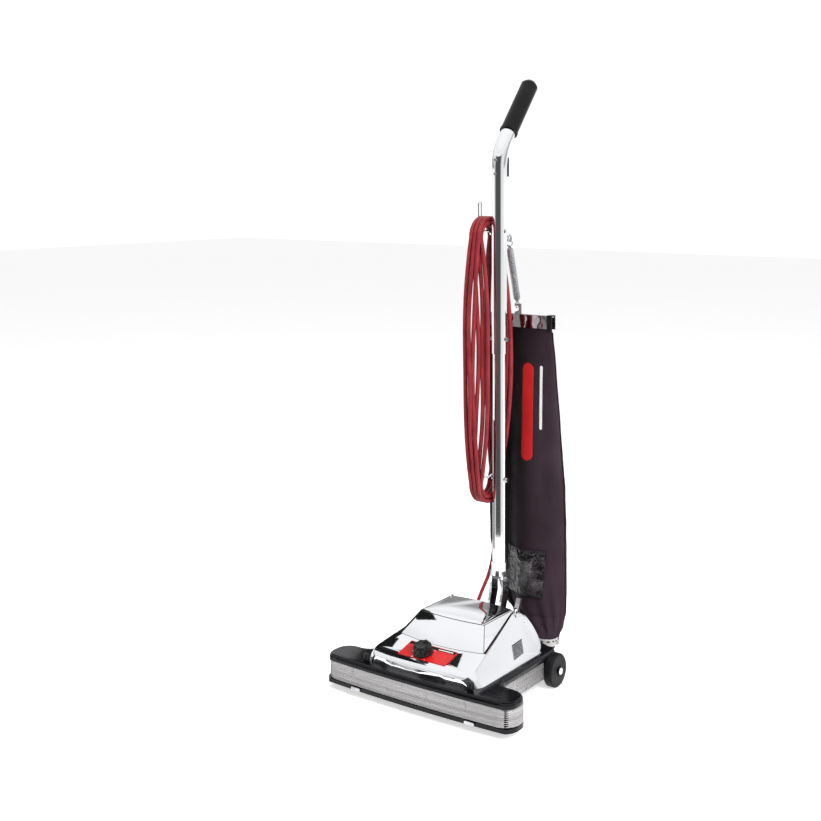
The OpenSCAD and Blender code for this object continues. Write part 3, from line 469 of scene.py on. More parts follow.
def casting_rim():
    """Rounded rim of the casting, standing over the bumper."""
    profile = [(5.2, 56.8), (2.6, 57.0), (1.7, 57.6), (1.4, 58.8), (1.4, 61.2), (1.9, 63.6),
               (3.0, 65.7), (4.6, 67.3), (6.8, 68.3), (9.5, 68.7), (13, 68.62)]
    rings = [[mm(x, y, z) for x, y in base_outline(inset)] for inset, z in profile]
    rim = loft("casting_rim", rings, MAT["enamel"])
    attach(rim, "chassis")
    return rim


def bumper_skin():
    """Ridged bumper round the nozzle and forward part of the body, open behind the wheels."""
    ridges = 9
    low, high = 22.1, 56.4
    steps = ridges * 8
    profile = [(4.4, low)]
    for i in range(steps + 1):
        t = i / steps
        wave = 0.5 + 0.5 * math.cos(2 * math.pi * ridges * t)
        lip = max(0.0, 1 - min(t, 1 - t) * 26)
        profile.append((0.5 + 1.0 * wave + 1.2 * lip, lerp(low, high, t)))
    profile.append((4.4, high))
    rings = []
    for inset, z in profile:
        right = [p for p in base_outline(inset)[:-1] if p[0] >= 0 and p[1] < GUARD_END]
        right.append((BODY_HALF - inset, GUARD_END))
        path = [(-x, y) for x, y in reversed(right[1:])] + right
        rings.append([mm(x, y, z) for x, y in path])
    skin = loft("bumper_skin", rings, MAT["bumper"], closed=False)
    sheet = skin.modifiers.new("sheet", "SOLIDIFY")
    sheet.thickness = 1.0 * MM
    sheet.offset = -1
    apply_modifiers(skin)
    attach(skin, "chassis")
    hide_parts("furniture_guard")


# ------------------------------------------------------------------ hood

HOOD_HALF = 133
HOOD_FOOT = 68.6
HOOD_LEAN = 0.72
HOOD_FRONT = -292.5
# heights between which the plan outline is drawn out, before the side profile cuts it
HOOD_LEVELS = (60, 160)

# the raised box: half width, front and height of its front edge above and of its foot
BOX_HALF, BOX_Y, BOX_Z = 75, -174.5, 145
FOOT_HALF, FOOT_Y, FOOT_Z = 99, -214, 106.5

# the rounded rear end of each side
CHEEK_X = 62
CHEEK_Y = -58.6
CHEEK_Z = 105
BULGE = 21
BULGE_H = 34

CLIP_X = 121
RIVET_Z = 77.6


def hood_side(z):
    """Half width of the hood's leaning side at height z."""
    return HOOD_HALF - HOOD_LEAN * (z - HOOD_FOOT)


def hood_plan(z):
    """Outline of the hood's lower body at height z, rounded in front and slightly bowed."""
    half = hood_side(z)
    corner = 27
    points = []
    for i in range(0, 9):
        x = (half - corner) * i / 8
        points.append((x, HOOD_FRONT + 3.6 * (x / half) ** 2))
    points += arc(half - corner, points[-1][1] + corner, corner, -90, 0, 10)[1:]
    points += [(half, -30)]
    left = [(-x, y) for x, y in reversed(points[1:])]
    return points + left


def hood_lower():
    """Plan body crossed with the side profile."""
    body = loft("hood_shell", [[mm(x, y, z) for x, y in hood_plan(z)] for z in HOOD_LEVELS],
                MAT["hood"], cap_start=True, cap_end=True)
    side = [(-300, HOOD_FOOT), (-300, 76), (-291, 80.5), (-286, 86.5), (-276, 90.8), (FOOT_Y, FOOT_Z),
            (-150, 123.2), (-82, 141)]
    for a in range(72, -1, -12):
        turn = math.radians(a)
        side.append((-78 + BULGE * math.cos(turn), 108 + BULGE_H * math.sin(turn)))
    side.append((-57, HOOD_FOOT))
    cutter = loft("side_cut", [[mm(x, y, z) for y, z in side] for x in (-200, 200)], MAT["hood"],
                  cap_start=True, cap_end=True)
    return boolean(body, cutter, "INTERSECT")


def hood_cheek(side):
    """Rounded rear end of one side of the hood, beside the handle's pivot."""
    body = loft("cheek_part", [[mm(x, y, z) for x, y in hood_plan(z)] for z in HOOD_LEVELS],
                MAT["hood"], cap_start=True, cap_end=True)
    outline = [(-110, HOOD_FOOT), (-110, 120), (-82, 139.5)]
    for a in range(80, -61, -14):
        turn = math.radians(a)
        outline.append((CHEEK_Y + BULGE * math.cos(turn), CHEEK_Z + BULGE_H * math.sin(turn)))
    outline += [(-62, 71), (-68, HOOD_FOOT)]
    ends = (CHEEK_X, 200) if side > 0 else (-200, -CHEEK_X)
    cutter = loft("cheek_cut", [[mm(x, y, z) for y, z in outline] for x in ends], MAT["hood"],
                  cap_start=True, cap_end=True)
    return boolean(body, cutter, "INTERSECT")


def hood_box():
    """Raised box with bowed front edges, tapering sides and a gently crowned top."""
    levels = [(92, 103.5, -221, 9), (FOOT_Z, FOOT_HALF, FOOT_Y, 9), (126, 87, -194, 8),
              (BOX_Z, BOX_HALF, BOX_Y, 7), (147.0, 70, -166, 6), (148.4, 61, -155, 5), (149.4, 44, -138, 4)]
    crown = 1.6
    crown_from = 146
    rear = -66
    rings = []
    for z, half, front, bow in levels:
        ring = []
        for i in range(-8, 9):
            u = i / 8
            dome = 1 - u * u
            rise = crown * dome if z > crown_from else 0
            ring.append(mm(half * u, front - bow * dome, z + rise))
        back = rear - max(0, z - 140) * 0.8
        ring += [mm(half, back, z), mm(0, back, z + (crown if z > crown_from else 0)), mm(-half, back, z)]
        rings.append(ring)
    return loft("box_part", rings, MAT["hood"], cap_start=True, cap_end=True)


def hood():
    """Chromed sheet: lower body with soft edges and the raised box; the painted shade along its creases is
    added separately.
    """
    shell = hood_lower()
    for side in (-1, 1):
        boolean(shell, hood_cheek(side), "UNION")
    soften(shell, 3.0, 4, 14)
    apply_modifiers(shell)
    boolean(shell, hood_box(), "UNION")
    bm = bmesh.new()
    bm.from_mesh(shell.data)
    bottom = [f for f in bm.faces if f.normal.z < -0.9 and f.calc_center_median().z < 0.0695]
    bmesh.ops.delete(bm, geom=bottom, context="FACES")
    bmesh.ops.dissolve_limit(bm, angle_limit=math.radians(0.6), verts=bm.verts, edges=bm.edges)
    bm.to_mesh(shell.data)
    bm.free()
    sheet = shell.modifiers.new("sheet", "SOLIDIFY")
    sheet.thickness = 1.4 * MM
    sheet.offset = -1
    apply_modifiers(shell)
    smooth_by_angle(shell, 22)
    stem = loft("stem_hole", [round_on_deck(6, h, 24) for h in (-12, 8)], MAT["hood"],
                cap_start=True, cap_end=True)
    boolean(shell, stem, "DIFFERENCE")
    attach(shell, "chassis")
    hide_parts("hood")
    return shell


def hood_creases():
    """Painted shade: dark lines along the pressed creases round the raised box, and a dark strip on the
    shoulder along both of its sides.
    """
    top = []
    foot = []
    for i in range(-12, 13):
        u = i / 12
        dome = 1 - u * u
        drop = 0.2885 * 9 * dome
        top.append(mm(BOX_HALF * u, BOX_Y - 7 * dome, BOX_Z))
        foot.append(mm(FOOT_HALF * u, FOOT_Y - 9 * dome - 0.483 * drop, FOOT_Z - drop))
    paths = {"top": top, "foot": foot}
    sides = [(FOOT_HALF, FOOT_Y, FOOT_Z), (87, -139.4, 126), (77.75, -82, 141)]
    for side, tag in ((-1, "left"), (1, "right")):
        corner = mm(side * BOX_HALF, BOX_Y, BOX_Z)
        paths["corner_" + tag] = [corner, mm(side * FOOT_HALF, FOOT_Y, FOOT_Z)]
        paths["roof_" + tag] = [corner, mm(side * BOX_HALF, -72, BOX_Z)]
        inner = [mm(side * (x - 0.4), y, z + 0.9) for x, y, z in sides]
        outer = [mm(side * (hood_side(z) + 0.1), y, z + 0.1) for x, y, z in sides]
        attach(loft("hood_ledge_shade_" + tag, [inner, outer], MAT["crease_shade"], closed=False), "chassis")
    for tag, path in paths.items():
        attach(sweep("hood_crease_" + tag, path, 0.6 * MM, MAT["crease_shade"], 8), "chassis")


def rivet_caps():
    """Dark painted heads of the corner clips' rivets."""
    turns = [2 * math.pi * k / 20 for k in range(20)]
    for side, tag in ((-1, "left"), (1, "right")):
        rings = [[mm(side * CLIP_X + r * math.cos(a), y, RIVET_Z + r * math.sin(a)) for a in turns]
                 for r, y in ((2.75, -296.6), (2.75, -298.2), (1.6, -298.6))]
        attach(loft("rivet_" + tag, rings, MAT["black"], cap_start=True, cap_end=True), "chassis")


# the knob's place on the sloping deck
KNOB = (-12, -256)
SLOPE = math.atan((106.5 - 90.8) / (-214 + 276))
KNOB_Z = 90.8 + (KNOB[1] + 276) * math.tan(SLOPE)


def deck_point(u, v, h):
    """Point over the deck: u across, v up the slope, h square to it, in millimetres."""
    return mm(KNOB[0] + u,
              KNOB[1] + v * math.cos(SLOPE) - h * math.sin(SLOPE),
              KNOB_Z + v * math.sin(SLOPE) + h * math.cos(SLOPE))


def round_on_deck(radius, h, steps, u=0):
    """Circle about the knob's axis at height h over the deck."""
    turn = 2 * math.pi / steps
    return [deck_point(u + radius * math.cos(turn * k), radius * math.sin(turn * k), h)
            for k in range(steps)]


def deck_plate(name, u0, u1, v0, v1, height, material, radius=2.0):
    """Thin plate lying on the deck, with round corners."""
    outline = []
    for cx, cy, start in ((u1 - radius, v0 + radius, -90), (u1 - radius, v1 - radius, 0),
                          (u0 + radius, v1 - radius, 90), (u0 + radius, v0 + radius, 180)):
        outline += arc(cx, cy, radius, start, start + 90, 4)
    rings = [[deck_point(u, v, h) for u, v in outline] for h in (0.15, height)]
    plate = loft(name, rings, material, cap_start=True, cap_end=True)
    smooth_by_angle(plate, 30)
    return plate


def label():
    """Red scale plate with a dark band and a plain light strip; no lettering."""
    red = deck_plate("scale_plate", -47, 63, -20, 27, 0.9, MAT["red"])
    band = deck_plate("scale_band", -45, 61, 17.5, 25.5, 1.05, MAT["matt"], 1.0)
    strip = deck_plate("scale_strip", 22, 56, 19.4, 22.6, 1.15, MAT["white"], 0.8)
    ticks = []
    dots_r = 23
    for i in range(7):
        a = math.radians(-140 + 280 * i / 6 + 90)
        ring = []
        for h in (0.9, 1.1):
            ring.append([deck_point(dots_r * math.cos(a) + r * math.cos(b),
                                    dots_r * math.sin(a) + r * math.sin(b), h)
                         for r, b in ((0.5 + 0.25 * i, 2 * math.pi * k / 12) for k in range(12))])
        ticks.append(loft("scale_dot_%d" % i, ring, MAT["white"], cap_start=True, cap_end=True))
    for piece in [band, strip] + ticks:
        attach(piece, "chassis")
    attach(red, "chassis")
    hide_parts("label_plate")


def knob():
    """Lobed knob with a flange, a dished crown, a raised pointer rib and its stem."""
    lobes = 8
    profile = [(0.90, 1.4), (0.96, 1.9), (0.96, 4.4), (0.90, 5.4), (0.90, 7.0), (0.92, 12.0),
               (0.90, 16.5), (0.85, 18.8), (0.76, 20.1), (0.64, 20.4), (0.54, 19.4), (0.46, 18.9),
               (0.2, 18.8), (0.02, 18.8)]
    rings = []
    steps = 128
    for share, h in profile:
        ring = []
        depth = 2.6 * smooth((h - 5.0) / 1.5) if share > 0.7 else 0
        for k in range(steps):
            a = 2 * math.pi * k / steps
            scallop = 1 - abs(math.cos(lobes * a / 2)) ** 0.7
            r = 20.2 * share - depth * scallop
            ring.append(deck_point(r * math.cos(a), r * math.sin(a), h))
        rings.append(ring)
    cap = loft("knob_cap", rings, MAT["black"], cap_start=True, cap_end=True)
    rib = [[deck_point(u, v, h) for u, v in ((-1.1, 5), (1.1, 5), (0.8, 15.5), (-0.8, 15.5))]
           for h in (18.0, 21.0)]
    pointer = loft("knob_pointer", rib, MAT["black"], cap_start=True, cap_end=True)
    shaft = loft("knob_stem", [round_on_deck(4.9, h, 32) for h in (-6, 2)], MAT["steel"],
                 cap_start=True, cap_end=True)
    cam = loft("knob_cam", [round_on_deck(11, h, 48, 2) for h in (-7, -5)], MAT["steel"],
               cap_start=True, cap_end=True)
    for piece in (cap, pointer, shaft, cam):
        smooth_by_angle(piece, 40)
        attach(piece, "knob")
    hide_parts("height_knob")


def side_vents():
    """Slanted louvres in both sides of the hood, laid over a dark sheet of painted shade where the openings
    behind them would be; the hood's wall is not cut.
    """
    rows = 10
    for side, tag in ((-1, "left"), (1, "right")):
        def wall(y, z, out):
            return mm(side * (hood_side(z) + out), y, z)
        y0, y1 = -147, -108
        slant = 16
        low = (79.5, 82)
        top = (100.4, 102)
        back = [wall(y0, low[0], 0.25), wall(y1, low[1], 0.25),
                wall(y1 + slant, top[1], 0.25), wall(y0 + slant, top[0], 0.25)]
        # painted shade: a near-black sheet on the hood's wall in place of the shaded openings behind the
        # louvres
        field = make_object("vent_shade_" + tag, back, [(0, 1, 2, 3)], MAT["matt"], False)
        thick = field.modifiers.new("sheet", "SOLIDIFY")
        thick.thickness = 0.3 * MM
        apply_modifiers(field)
        verts, faces = [], []
        for i in range(rows):
            a = (i + 0.15) / rows
            b = (i + 0.62) / rows
            for out, t in ((0.35, a), (1.5, a), (0.9, b), (0.35, b)):
                y = lerp(y0, y1, t)
                verts.append(wall(y + 1, lerp(low[0], low[1], t) + 1.2, out))
                verts.append(wall(y + slant - 1, lerp(top[0], top[1], t) - 1.2, out))
            n = i * 8
            faces += [(n, n + 2, n + 3, n + 1), (n + 2, n + 4, n + 5, n + 3),
                      (n + 4, n + 6, n + 7, n + 5), (n + 6, n, n + 1, n + 7),
                      (n, n + 6, n + 4, n + 2), (n + 1, n + 3, n + 5, n + 7)]
        slats = make_object("vent_slats_" + tag, verts, faces, MAT["steel"], False)
        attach(field, "chassis")
        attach(slats, "chassis")
        if side > 0:
            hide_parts("side_vents")


# ------------------------------------------------------------------ bag

# z, centre x, centre y, half width, half depth
SECTIONS = [
    (718, 0, 72, 84, 3.4), (700, 0, 72, 84, 3.8), (668, 1, 73.5, 84.5, 11),
    (640, 2, 76, 86, 19), (580, 4, 80, 87, 27), (520, 6, 84, 88, 33), (440, 8.5, 88, 89, 39),
    (360, 11, 92, 90, 42), (290, 11.5, 93, 90.5, 44), (230, 13, 92, 90, 44),
    (185, 21, 88, 85, 42), (150, 28, 82, 81, 40), (122, 34, 78, 77, 38), (100, 46, 74, 66, 36),
    (84, 59, 67, 52, 34), (76, 70, 62, 42, 32), (69, 76, 57, 34, 28)
]


# height at which the bag's gathered foot begins
NECK_TOP = 102


def section(z):
    """Centre and half sizes of the bag at height z, smoothly between the sections."""
    for a, b in zip(SECTIONS, SECTIONS[1:]):
        if z >= b[0]:
            t = (a[0] - z) / (a[0] - b[0])
            return [lerp(a[i], b[i], t) for i in range(1, 5)]
    return list(SECTIONS[-1][1:])


def bag_point(angle, z, out=0.0):
    """Point on the bag's surface. angle 0 is the right edge, 270 the front."""
    cx, cy, hw, hd = section(z)
    a = math.radians(angle)
    c, s = math.cos(a), math.sin(a)
    round_x = math.copysign(abs(c) ** 0.82, c)
    round_y = math.copysign(abs(s) ** 0.9, s)
    drop = smooth((690 - z) / 120)
    fold = 1.9 * math.sin(math.radians(4 * angle + 20) + 0.004 * z)
    fold += 1.4 * math.sin(math.radians(7 * angle + 75) - 0.007 * z)
    low = smooth((185 - z) / 90)
    fold += 2.2 * low * math.sin(math.radians(13 * angle) + 0.02 * z)
    seed = Vector((cx + hw * c, cy + hd * s, z)) * 0.013
    fold += 2.0 * noise.noise(seed) + 1.0 * noise.noise(seed * 3.1)
    if s < 0:
        across = (cx + round_x * hw + 24) / 30
        fold -= 17 * smooth((660 - z) / 170) * math.exp(-across * across)
    swell = fold * drop - 2.0 * drop + out
    return mm(cx + round_x * hw + c * swell * 0.5, cy + round_y * hd + s * swell, z)


def bag_shell():
    around = 120
    levels = []
    z = 716.0
    while z > NECK_TOP:
        levels.append(z)
        z -= 7.0 if z > 190 else 3.5
    levels.append(NECK_TOP)
    rings = [[bag_point(360 * k / around, z) for k in range(around)] for z in levels]
    bag = loft("bag_cloth", rings, MAT["cloth"])
    sheet = bag.modifiers.new("cloth", "SOLIDIFY")
    sheet.thickness = 1.1 * MM
    sheet.offset = -1
    apply_modifiers(bag)
    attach(bag, "bag")
    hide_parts("bag")
    for angle, tag in ((2, "right"), (178, "left")):
        path = [bag_point(angle, z, 0.6) for z in levels if z < 692]
        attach(sweep("bag_piping_" + tag, path, 1.7 * MM, MAT["matt"], 8), "bag")
    hem = [bag_point(360 * k / around, 688, 0.4) for k in range(around)]
    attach(sweep("bag_stitching", hem, 0.55 * MM, MAT["cloth"], 6, closed=True), "bag")


def bag_neck():
    """Gathered foot of the bag, drawn together round the neck band."""
    around = 120
    band = 25.4
    band_x, band_y = 92, 36
    steps = 26
    rings = []
    for i in range(steps + 1):
        z = lerp(62, NECK_TOP + 1, i / steps)
        w = smooth((z - 62.5) / 13)
        ring = []
        for k in range(around):
            a = 2 * math.pi * k / around
            pleat = 1.1 * (1 - w) * math.sin(18 * a + 2.5 * math.sin(3 * a))
            r = band + pleat
            tied = mm(band_x + r * math.cos(a), band_y + r * math.sin(a), z)
            ring.append(tied.lerp(bag_point(360 * k / around, z, -0.5), w))
        rings.append(ring)
    neck = loft("bag_neck", rings, MAT["cloth"])
    sheet = neck.modifiers.new("cloth", "SOLIDIFY")
    sheet.thickness = 0.9 * MM
    sheet.offset = -1
    apply_modifiers(neck)
    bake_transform(neck)


def front_y(x, z, out):
    """Front surface of the bag at x and z, moved outwards."""
    cx, _, hw, _ = section(z)
    u = max(-0.97, min(0.97, (x - cx) / hw))
    angle = 360 - math.degrees(math.acos(math.copysign(abs(u) ** (1 / 0.82), u)))
    return bag_point(angle, z, out)


def stripe(name, x0, x1, z0, z1, material):
    """Plain printed stripe on the bag's front, with round ends."""
    columns, rows = 8, 60
    radius = (x1 - x0) / 2
    verts = []
    for j in range(rows + 1):
        z = lerp(z0, z1, j / rows)
        end = min(1.0, min(z - z0, z1 - z) / radius + 0.02)
        half = radius * math.sqrt(1 - (1 - end) ** 2)
        for i in range(columns + 1):
            verts.append(front_y((x0 + x1) / 2 + half * (2 * i / columns - 1), z, 0.45))
    n = columns + 1
    faces = [(j * n + i, j * n + i + 1, (j + 1) * n + i + 1, (j + 1) * n + i)
             for j in range(rows) for i in range(columns)]
    print_skin = make_object(name, verts, faces, material)
    sheet = print_skin.modifiers.new("sheet", "SOLIDIFY")
    sheet.thickness = 0.3 * MM
    apply_modifiers(print_skin)
    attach(print_skin, "bag")


def bag_stripes():
    """Plain decoration in place of lettering."""
    stripe("bag_stripe_red", 22, 48, 418, 622, MAT["print_red"])
    stripe("bag_stripe_white", 62, 68, 484, 618, MAT["print_white"])


def pocket():
    """Clear crinkled pocket on the bag's front, open at the top, with a hem."""
    nx, nz = 40, 40
    x0, x1, z0, z1 = -20, 76, 137, 232
    verts = []
    for j in range(nz + 1):
        z = lerp(z0, z1, j / nz)
        for i in range(nx + 1):
            x = lerp(x0, x1, i / nx)
            edge = min(1, 6 * min(i / nx, 1 - i / nx, j / nz))
            crinkle = 3.4 * noise.noise(Vector((x, 3, z)) * 0.045)
            crinkle += 1.3 * noise.noise(Vector((x, 9, z)) * 0.11)
            p = front_y(x, z, 0)
            verts.append(Vector((x * MM, p.y - (1.4 + edge * (2.2 + crinkle)) * MM, z * MM)))
    faces = []
    for j in range(nz):
        for i in range(nx):
            a = j * (nx + 1) + i
            faces.append((a, a + 1, a + nx + 2, a + nx + 1))
    sheet = make_object("pocket_sheet", verts, faces, MAT["vinyl"])
    thick = sheet.modifiers.new("sheet", "SOLIDIFY")
    thick.thickness = 0.4 * MM
    apply_modifiers(sheet)
    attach(sheet, "bag")
    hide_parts("bag_pocket")
    row = nx + 1
    border = [verts[j * row] for j in range(nz, -1, -1)]
    border += [verts[i] for i in range(1, nx + 1)]
    border += [verts[j * row + nx] for j in range(1, nz + 1)]
    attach(sweep("pocket_seam", border, 0.9 * MM, MAT["matt"], 6), "bag")
    lip = [verts[nz * row + i] for i in range(nx + 1)]
    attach(sweep("pocket_lip", lip, 0.8 * MM, MAT["vinyl"], 6), "bag")


# ------------------------------------------------------------------ cord and spring

COIL_Y = -6
COIL_TOP = 887
COIL_BOTTOM = 378

# x at the hooks, end radius, sideways bulge in front, forward swing, wave size, wave turns,
# wave phase, sideways drift behind the tube
STRANDS = [(-21.5, 40.5, -10, 5, 3.0, 1.1, 0.4, -6), (-30.5, 40.5, -10, 8, 4.0, 1.6, 1.9, -10),
           (-39.8, 40.5, -14, 4, 3.5, 1.3, 3.3, -12), (-39.8, 31.2, 10, 1, 5.0, 1.2, 4.4, 24),
           (-30.5, 31.2, 12, -3, 4.0, 1.8, 5.6, 31), (-21.5, 31.2, 17, -2, 3.0, 1.4, 0.2, 36)]


def coil_strand(t, x, rho, strand):
    """Point of one turn of the cord, t from 0 to 1: over the upper hook, down in front, under
    the lower hook and up behind."""
    bulge, depth, size, turns, phase, drift = strand[2:]
    quarter = t * 4
    leg = quarter - math.floor(quarter)
    a = math.pi * leg
    if quarter < 1:
        return (x, COIL_Y + rho * math.cos(a), COIL_TOP + rho * math.sin(a))
    if quarter < 2:
        swing = math.sin(a) ** 0.8
        wave = size * math.sin(2 * math.pi * leg * turns + phase) * math.sin(a)
        return (x + bulge * swing + wave, COIL_Y - rho - depth * swing - 0.6 * wave,
                lerp(COIL_TOP, COIL_BOTTOM, leg))
    if quarter < 3:
        return (x, COIL_Y - rho * math.cos(a), COIL_BOTTOM - rho * math.sin(a))
    y = COIL_Y + rho - 2 * math.sin(a)
    return (x + drift * math.sin(a) ** 0.7, y, lerp(COIL_BOTTOM, COIL_TOP, leg))


def power_cord():
    """One long cord wound round both hooks in an outer and an inner layer."""
    steps = 64
    path = []
    for n, now in enumerate(STRANDS):
        after = STRANDS[min(n + 1, len(STRANDS) - 1)]
        for i in range(steps):
            t = i / steps
            move = smooth((t - 0.76) / 0.22)
            x = lerp(now[0], after[0], move)
            rho = lerp(now[1], after[1], move)
            path.append(mm(*coil_strand(t, x, rho, now)))
    cord = sweep("cord_coil", path, 4.5 * MM, MAT["cord"], 14)
    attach(cord, "handle")
    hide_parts("power_cord")


def cord_lead():
    """Loose end of the cord from the coil, behind the tube, down to the base."""
    knots = [mm(-23, 25, 372), mm(-24, 27, 345), mm(-25, 26, 300), mm(-26, 22, 250),
             mm(-25, 12, 210), mm(-24, -6, 180), mm(-27, -26, 152), mm(-31, -39, 126),
             mm(-32, -44, 104), mm(-32, -44, 78)]
    path = []
    for i in range(len(knots) - 1):
        p0 = knots[max(i - 1, 0)]
        p1, p2 = knots[i], knots[i + 1]
        p3 = knots[min(i + 2, len(knots) - 1)]
        for k in range(8):
            t = k / 8
            path.append(0.5 * ((2 * p1) + (p2 - p0) * t + (2 * p0 - 5 * p1 + 4 * p2 - p3) * t * t
                               + (3 * p1 - p0 - 3 * p2 + p3) * t ** 3))
    path.append(knots[-1])
    lead = sweep("cord_end", path, 3.7 * MM, MAT["cord"], 12)
    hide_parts("cord_lead")
    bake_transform(lead)


def bag_spring():
    """Close-wound spring with a hook at each end."""
    top = mm(0, 40, 866)
    low = mm(0, 72, 749)
    axis = (low - top).normalized()
    side = axis.cross(Vector((1, 0, 0))).normalized()
    other = axis.cross(side)
    turns = 36
    steps = 12
    length = (low - top).length
    path = [top - axis * 5 * MM]
    for i in range(turns * steps + 1):
        u = i / (turns * steps)
        a = 2 * math.pi * i / steps
        r = 6.5 * MM * min(1, 0.25 + 14 * u, 0.25 + 14 * (1 - u))
        path.append(top + axis * length * u + (side * math.cos(a) + other * math.sin(a)) * r)
    path.append(low + axis * 3 * MM)
    coil = sweep("spring_coil", path, 1.15 * MM, MAT["steel"], 8)
    rings = []
    for centre, flat in ((mm(0, 40, 873.8), "x"), (mm(0, 72, 742), "y")):
        ring = []
        for k in range(32):
            a = 2 * math.pi * k / 32
            across = math.cos(a)
            d = Vector((across, 0, math.sin(a)) if flat == "x" else (0, across, math.sin(a)))
            ring.append(centre + d * 7 * MM)
        rings.append(sweep("spring_ring_" + flat, ring, 1.15 * MM, MAT["steel"], 10, closed=True))
    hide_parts("bag_spring")
    for piece in [coil] + rings:
        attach(piece, "handle")
        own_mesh(piece)


# ------------------------------------------------------------------ stage, light and camera

def curved_card(name, material, first, last, rows):
    """Curved card round the machine, from azimuth first to last. rows are (radius, height) pairs.
    Only polished surfaces see it."""
    steps = 36
    verts = []
    for radius, z in rows:
        for i in range(steps + 1):
            a = math.radians(lerp(first, last, i / steps))
            verts.append(Vector((math.sin(a) * radius, -math.cos(a) * radius, z)))
    n = steps + 1
    faces = [(j * n + i, j * n + i + 1, (j + 1) * n + i + 1, (j + 1) * n + i)
             for j in range(len(rows) - 1) for i in range(steps)]
    return glossy_only(make_object(name, verts, faces, material, False))


def glossy_only(card):
    """Centres a card on the handle's axis and hides it from everything but polished surfaces."""
    card.location = (0, CENTRE_Y * MM, 0)
    card.visible_camera = False
    card.visible_shadow = False
    card.visible_diffuse = False
    return card


def card_paint(name, levels):
    """Light given off by a card, by azimuth in degrees; it draws the bands along the tube."""
    m = Nodes(name)
    m.set(Roughness=1.0, Specular_IOR_Level=0.0)
    m.bsdf.inputs["Base Color"].default_value = (0, 0, 0, 1)
    place = m.add("ShaderNodeTexCoord")
    round_axis = m.add("ShaderNodeTexGradient", gradient_type="RADIAL")
    m.link(place.outputs["Object"], round_axis.inputs["Vector"])
    stops = [(0.25 + azimuth / 360, (level, level, level)) for azimuth, level in levels]
    m.link(m.ramp(round_axis.outputs["Fac"], stops), m.bsdf.inputs["Emission Color"])
    m.bsdf.inputs["Emission Strength"].default_value = 1.0
    return m.mat


def cards():
    """Dark card in front, grey card behind and a small black one left of the hood."""
    front = card_paint("front_card", [(-48, 0.8), (-34, 0.5), (-26, 0.09), (40, 0.07), (54, 0.4),
                                      (64, 0.85)])
    back = card_paint("back_card", [(169, 0.28), (255, 0.32)])
    black = card_paint("black_card", [(-90, 0.01), (90, 0.02)])
    low, high = 150, 450
    corners = ((-260, -200, low), (-330, 0, low), (-330, 0, high), (-260, -200, high))
    patch = make_object("side_card", [mm(*corner) for corner in corners], [(0, 1, 2, 3)], black, False)
    glossy_only(patch).location = (0, 0, 0)
    on_floor = 0.002
    front_rows = [(0.95, on_floor), (3.4, on_floor), (3.4, 2.7)]
    back_rows = [(0.9, on_floor), (2.8, on_floor), (2.8, 0.35)]
    return [curved_card("front_card", front, -48, 100, front_rows),
            curved_card("back_card", back, 169, 255, back_rows), patch]


def studio_world():
    """White all round; polished surfaces see a soft grey gradient instead of pure white."""
    world = bpy.data.worlds.new("studio")
    SCENE.world = world
    world.use_nodes = True
    tree = world.node_tree
    background = tree.nodes["Background"]
    coord = tree.nodes.new("ShaderNodeTexCoord")
    split = tree.nodes.new("ShaderNodeSeparateXYZ")
    ramp = tree.nodes.new("ShaderNodeValToRGB")
    path = tree.nodes.new("ShaderNodeLightPath")
    stops = [(0.0, 1.0), (0.06, 0.30), (0.16, 0.55), (0.36, 0.93), (0.60, 0.84), (0.70, 0.93),
             (1.0, 0.97)]
    elements = ramp.color_ramp.elements
    while len(elements) < len(stops):
        elements.new(0.5)
    for element, (position, level) in zip(elements, stops):
        element.position = position
        element.color = (level, level, level * 1.01, 1)
    tree.links.new(coord.outputs["Generated"], split.inputs[0])
    tree.links.new(split.outputs["Z"], ramp.inputs["Fac"])
    colour = ramp.outputs["Color"]
    for ray, level in (("Is Diffuse Ray", 0.32), ("Is Camera Ray", 1.0)):
        mix = tree.nodes.new("ShaderNodeMix")
        mix.data_type = "RGBA"
        tree.links.new(path.outputs[ray], mix.inputs["Factor"])
        tree.links.new(colour, mix.inputs["A"])
        mix.inputs["B"].default_value = (level, level, level, 1)
        colour = mix.outputs["Result"]
    tree.links.new(colour, background.inputs["Color"])
    background.inputs["Strength"].default_value = 1.08
    SCENE.view_settings.view_transform = "Standard"


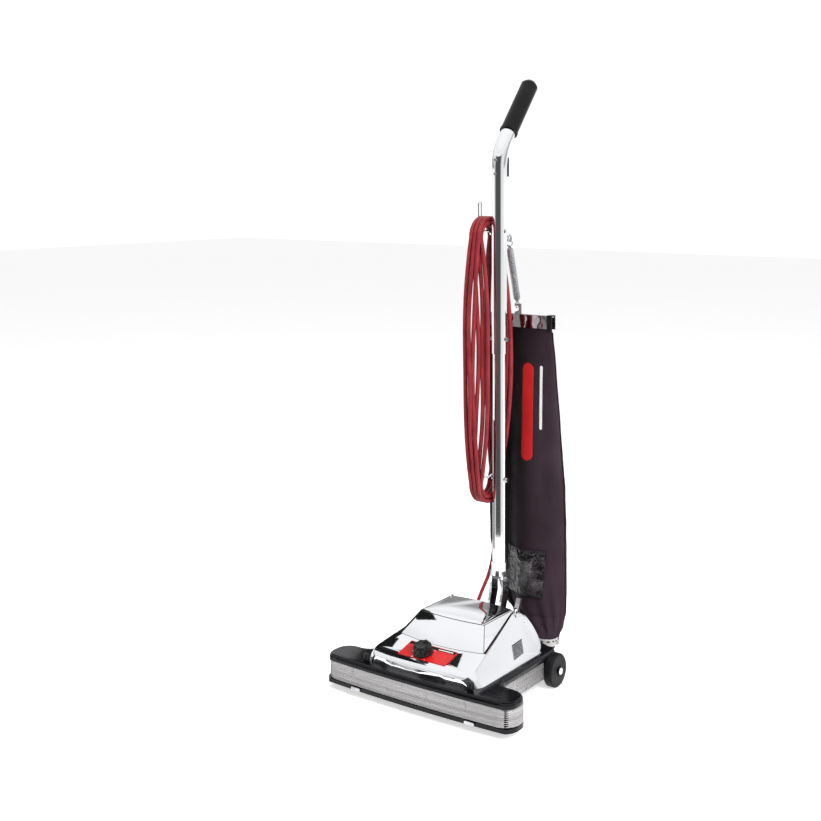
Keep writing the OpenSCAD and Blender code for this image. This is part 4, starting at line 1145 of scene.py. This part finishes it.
def lamp(name, place, target, width, height, power):
    """Soft rectangular lamp that polished surfaces don't mirror."""
    light = bpy.data.lights.new(name, "AREA")
    light.shape = "RECTANGLE"
    light.size = width
    light.size_y = height
    light.energy = power
    obj = bpy.data.objects.new(name, light)
    obj.location = place
    obj.rotation_euler = (Vector(target) - Vector(place)).to_track_quat("-Z", "Y").to_euler()
    obj.visible_glossy = False
    SCENE.collection.objects.link(obj)


def camera():
    """The photograph's view: level camera, shifted lens."""
    data = bpy.data.cameras.new("camera")
    data.sensor_width = 36
    data.lens = 55.34
    data.shift_y = -0.2808
    obj = bpy.data.objects.new("camera", data)
    obj.location = mm(1397.3, -2234.3, 1007)
    obj.rotation_euler = (math.radians(90), 0, math.radians(36.05))
    SCENE.collection.objects.link(obj)
    SCENE.camera = obj


def stage():
    """Pale floor, cards, lamps and camera."""
    paper = Nodes("floor")
    paper.set(Roughness=0.85, Specular_IOR_Level=0.0)
    pale = [(0.3, (0.95, 0.95, 0.95)), (0.7, (0.97, 0.97, 0.97))]
    paper.link(paper.ramp(paper.noise(3, 2), pale),
               paper.bsdf.inputs["Base Color"])
    glow = paper.add("ShaderNodeLightPath")
    unseen = paper.add("ShaderNodeMath", operation="SUBTRACT")
    unseen.inputs[0].default_value = 1.0
    paper.link(glow.outputs["Is Diffuse Ray"], unseen.inputs[1])
    strength = paper.add("ShaderNodeMath", operation="MULTIPLY")
    strength.inputs[1].default_value = 0.58
    paper.link(unseen.outputs[0], strength.inputs[0])
    paper.link(strength.outputs[0], paper.bsdf.inputs["Emission Strength"])
    paper.bsdf.inputs["Emission Color"].default_value = (1, 1, 1, 1)
    size = 14
    floor = make_object("floor", [Vector((-size, -size, 0)), Vector((size, -size, 0)),
                                  Vector((size, size, 0)), Vector((-size, size, 0))],
                        [(0, 1, 2, 3)], paper.mat, False)
    cards()
    studio_world()
    lamp("key", (2.9, -1.3, 2.6), (0, 0, 0.5), 1.4, 2.0, 130)
    lamp("top", (0, -0.2, 3.4), (0, 0, 0), 3.0, 3.0, 40)
    camera()


dress_cad()
casting_rim()
bumper_skin()
hood()
hood_creases()
rivet_caps()
label()
knob()
side_vents()
bag_shell()
bag_neck()
bag_stripes()
pocket()
power_cord()
cord_lead()
bag_spring()
stage()
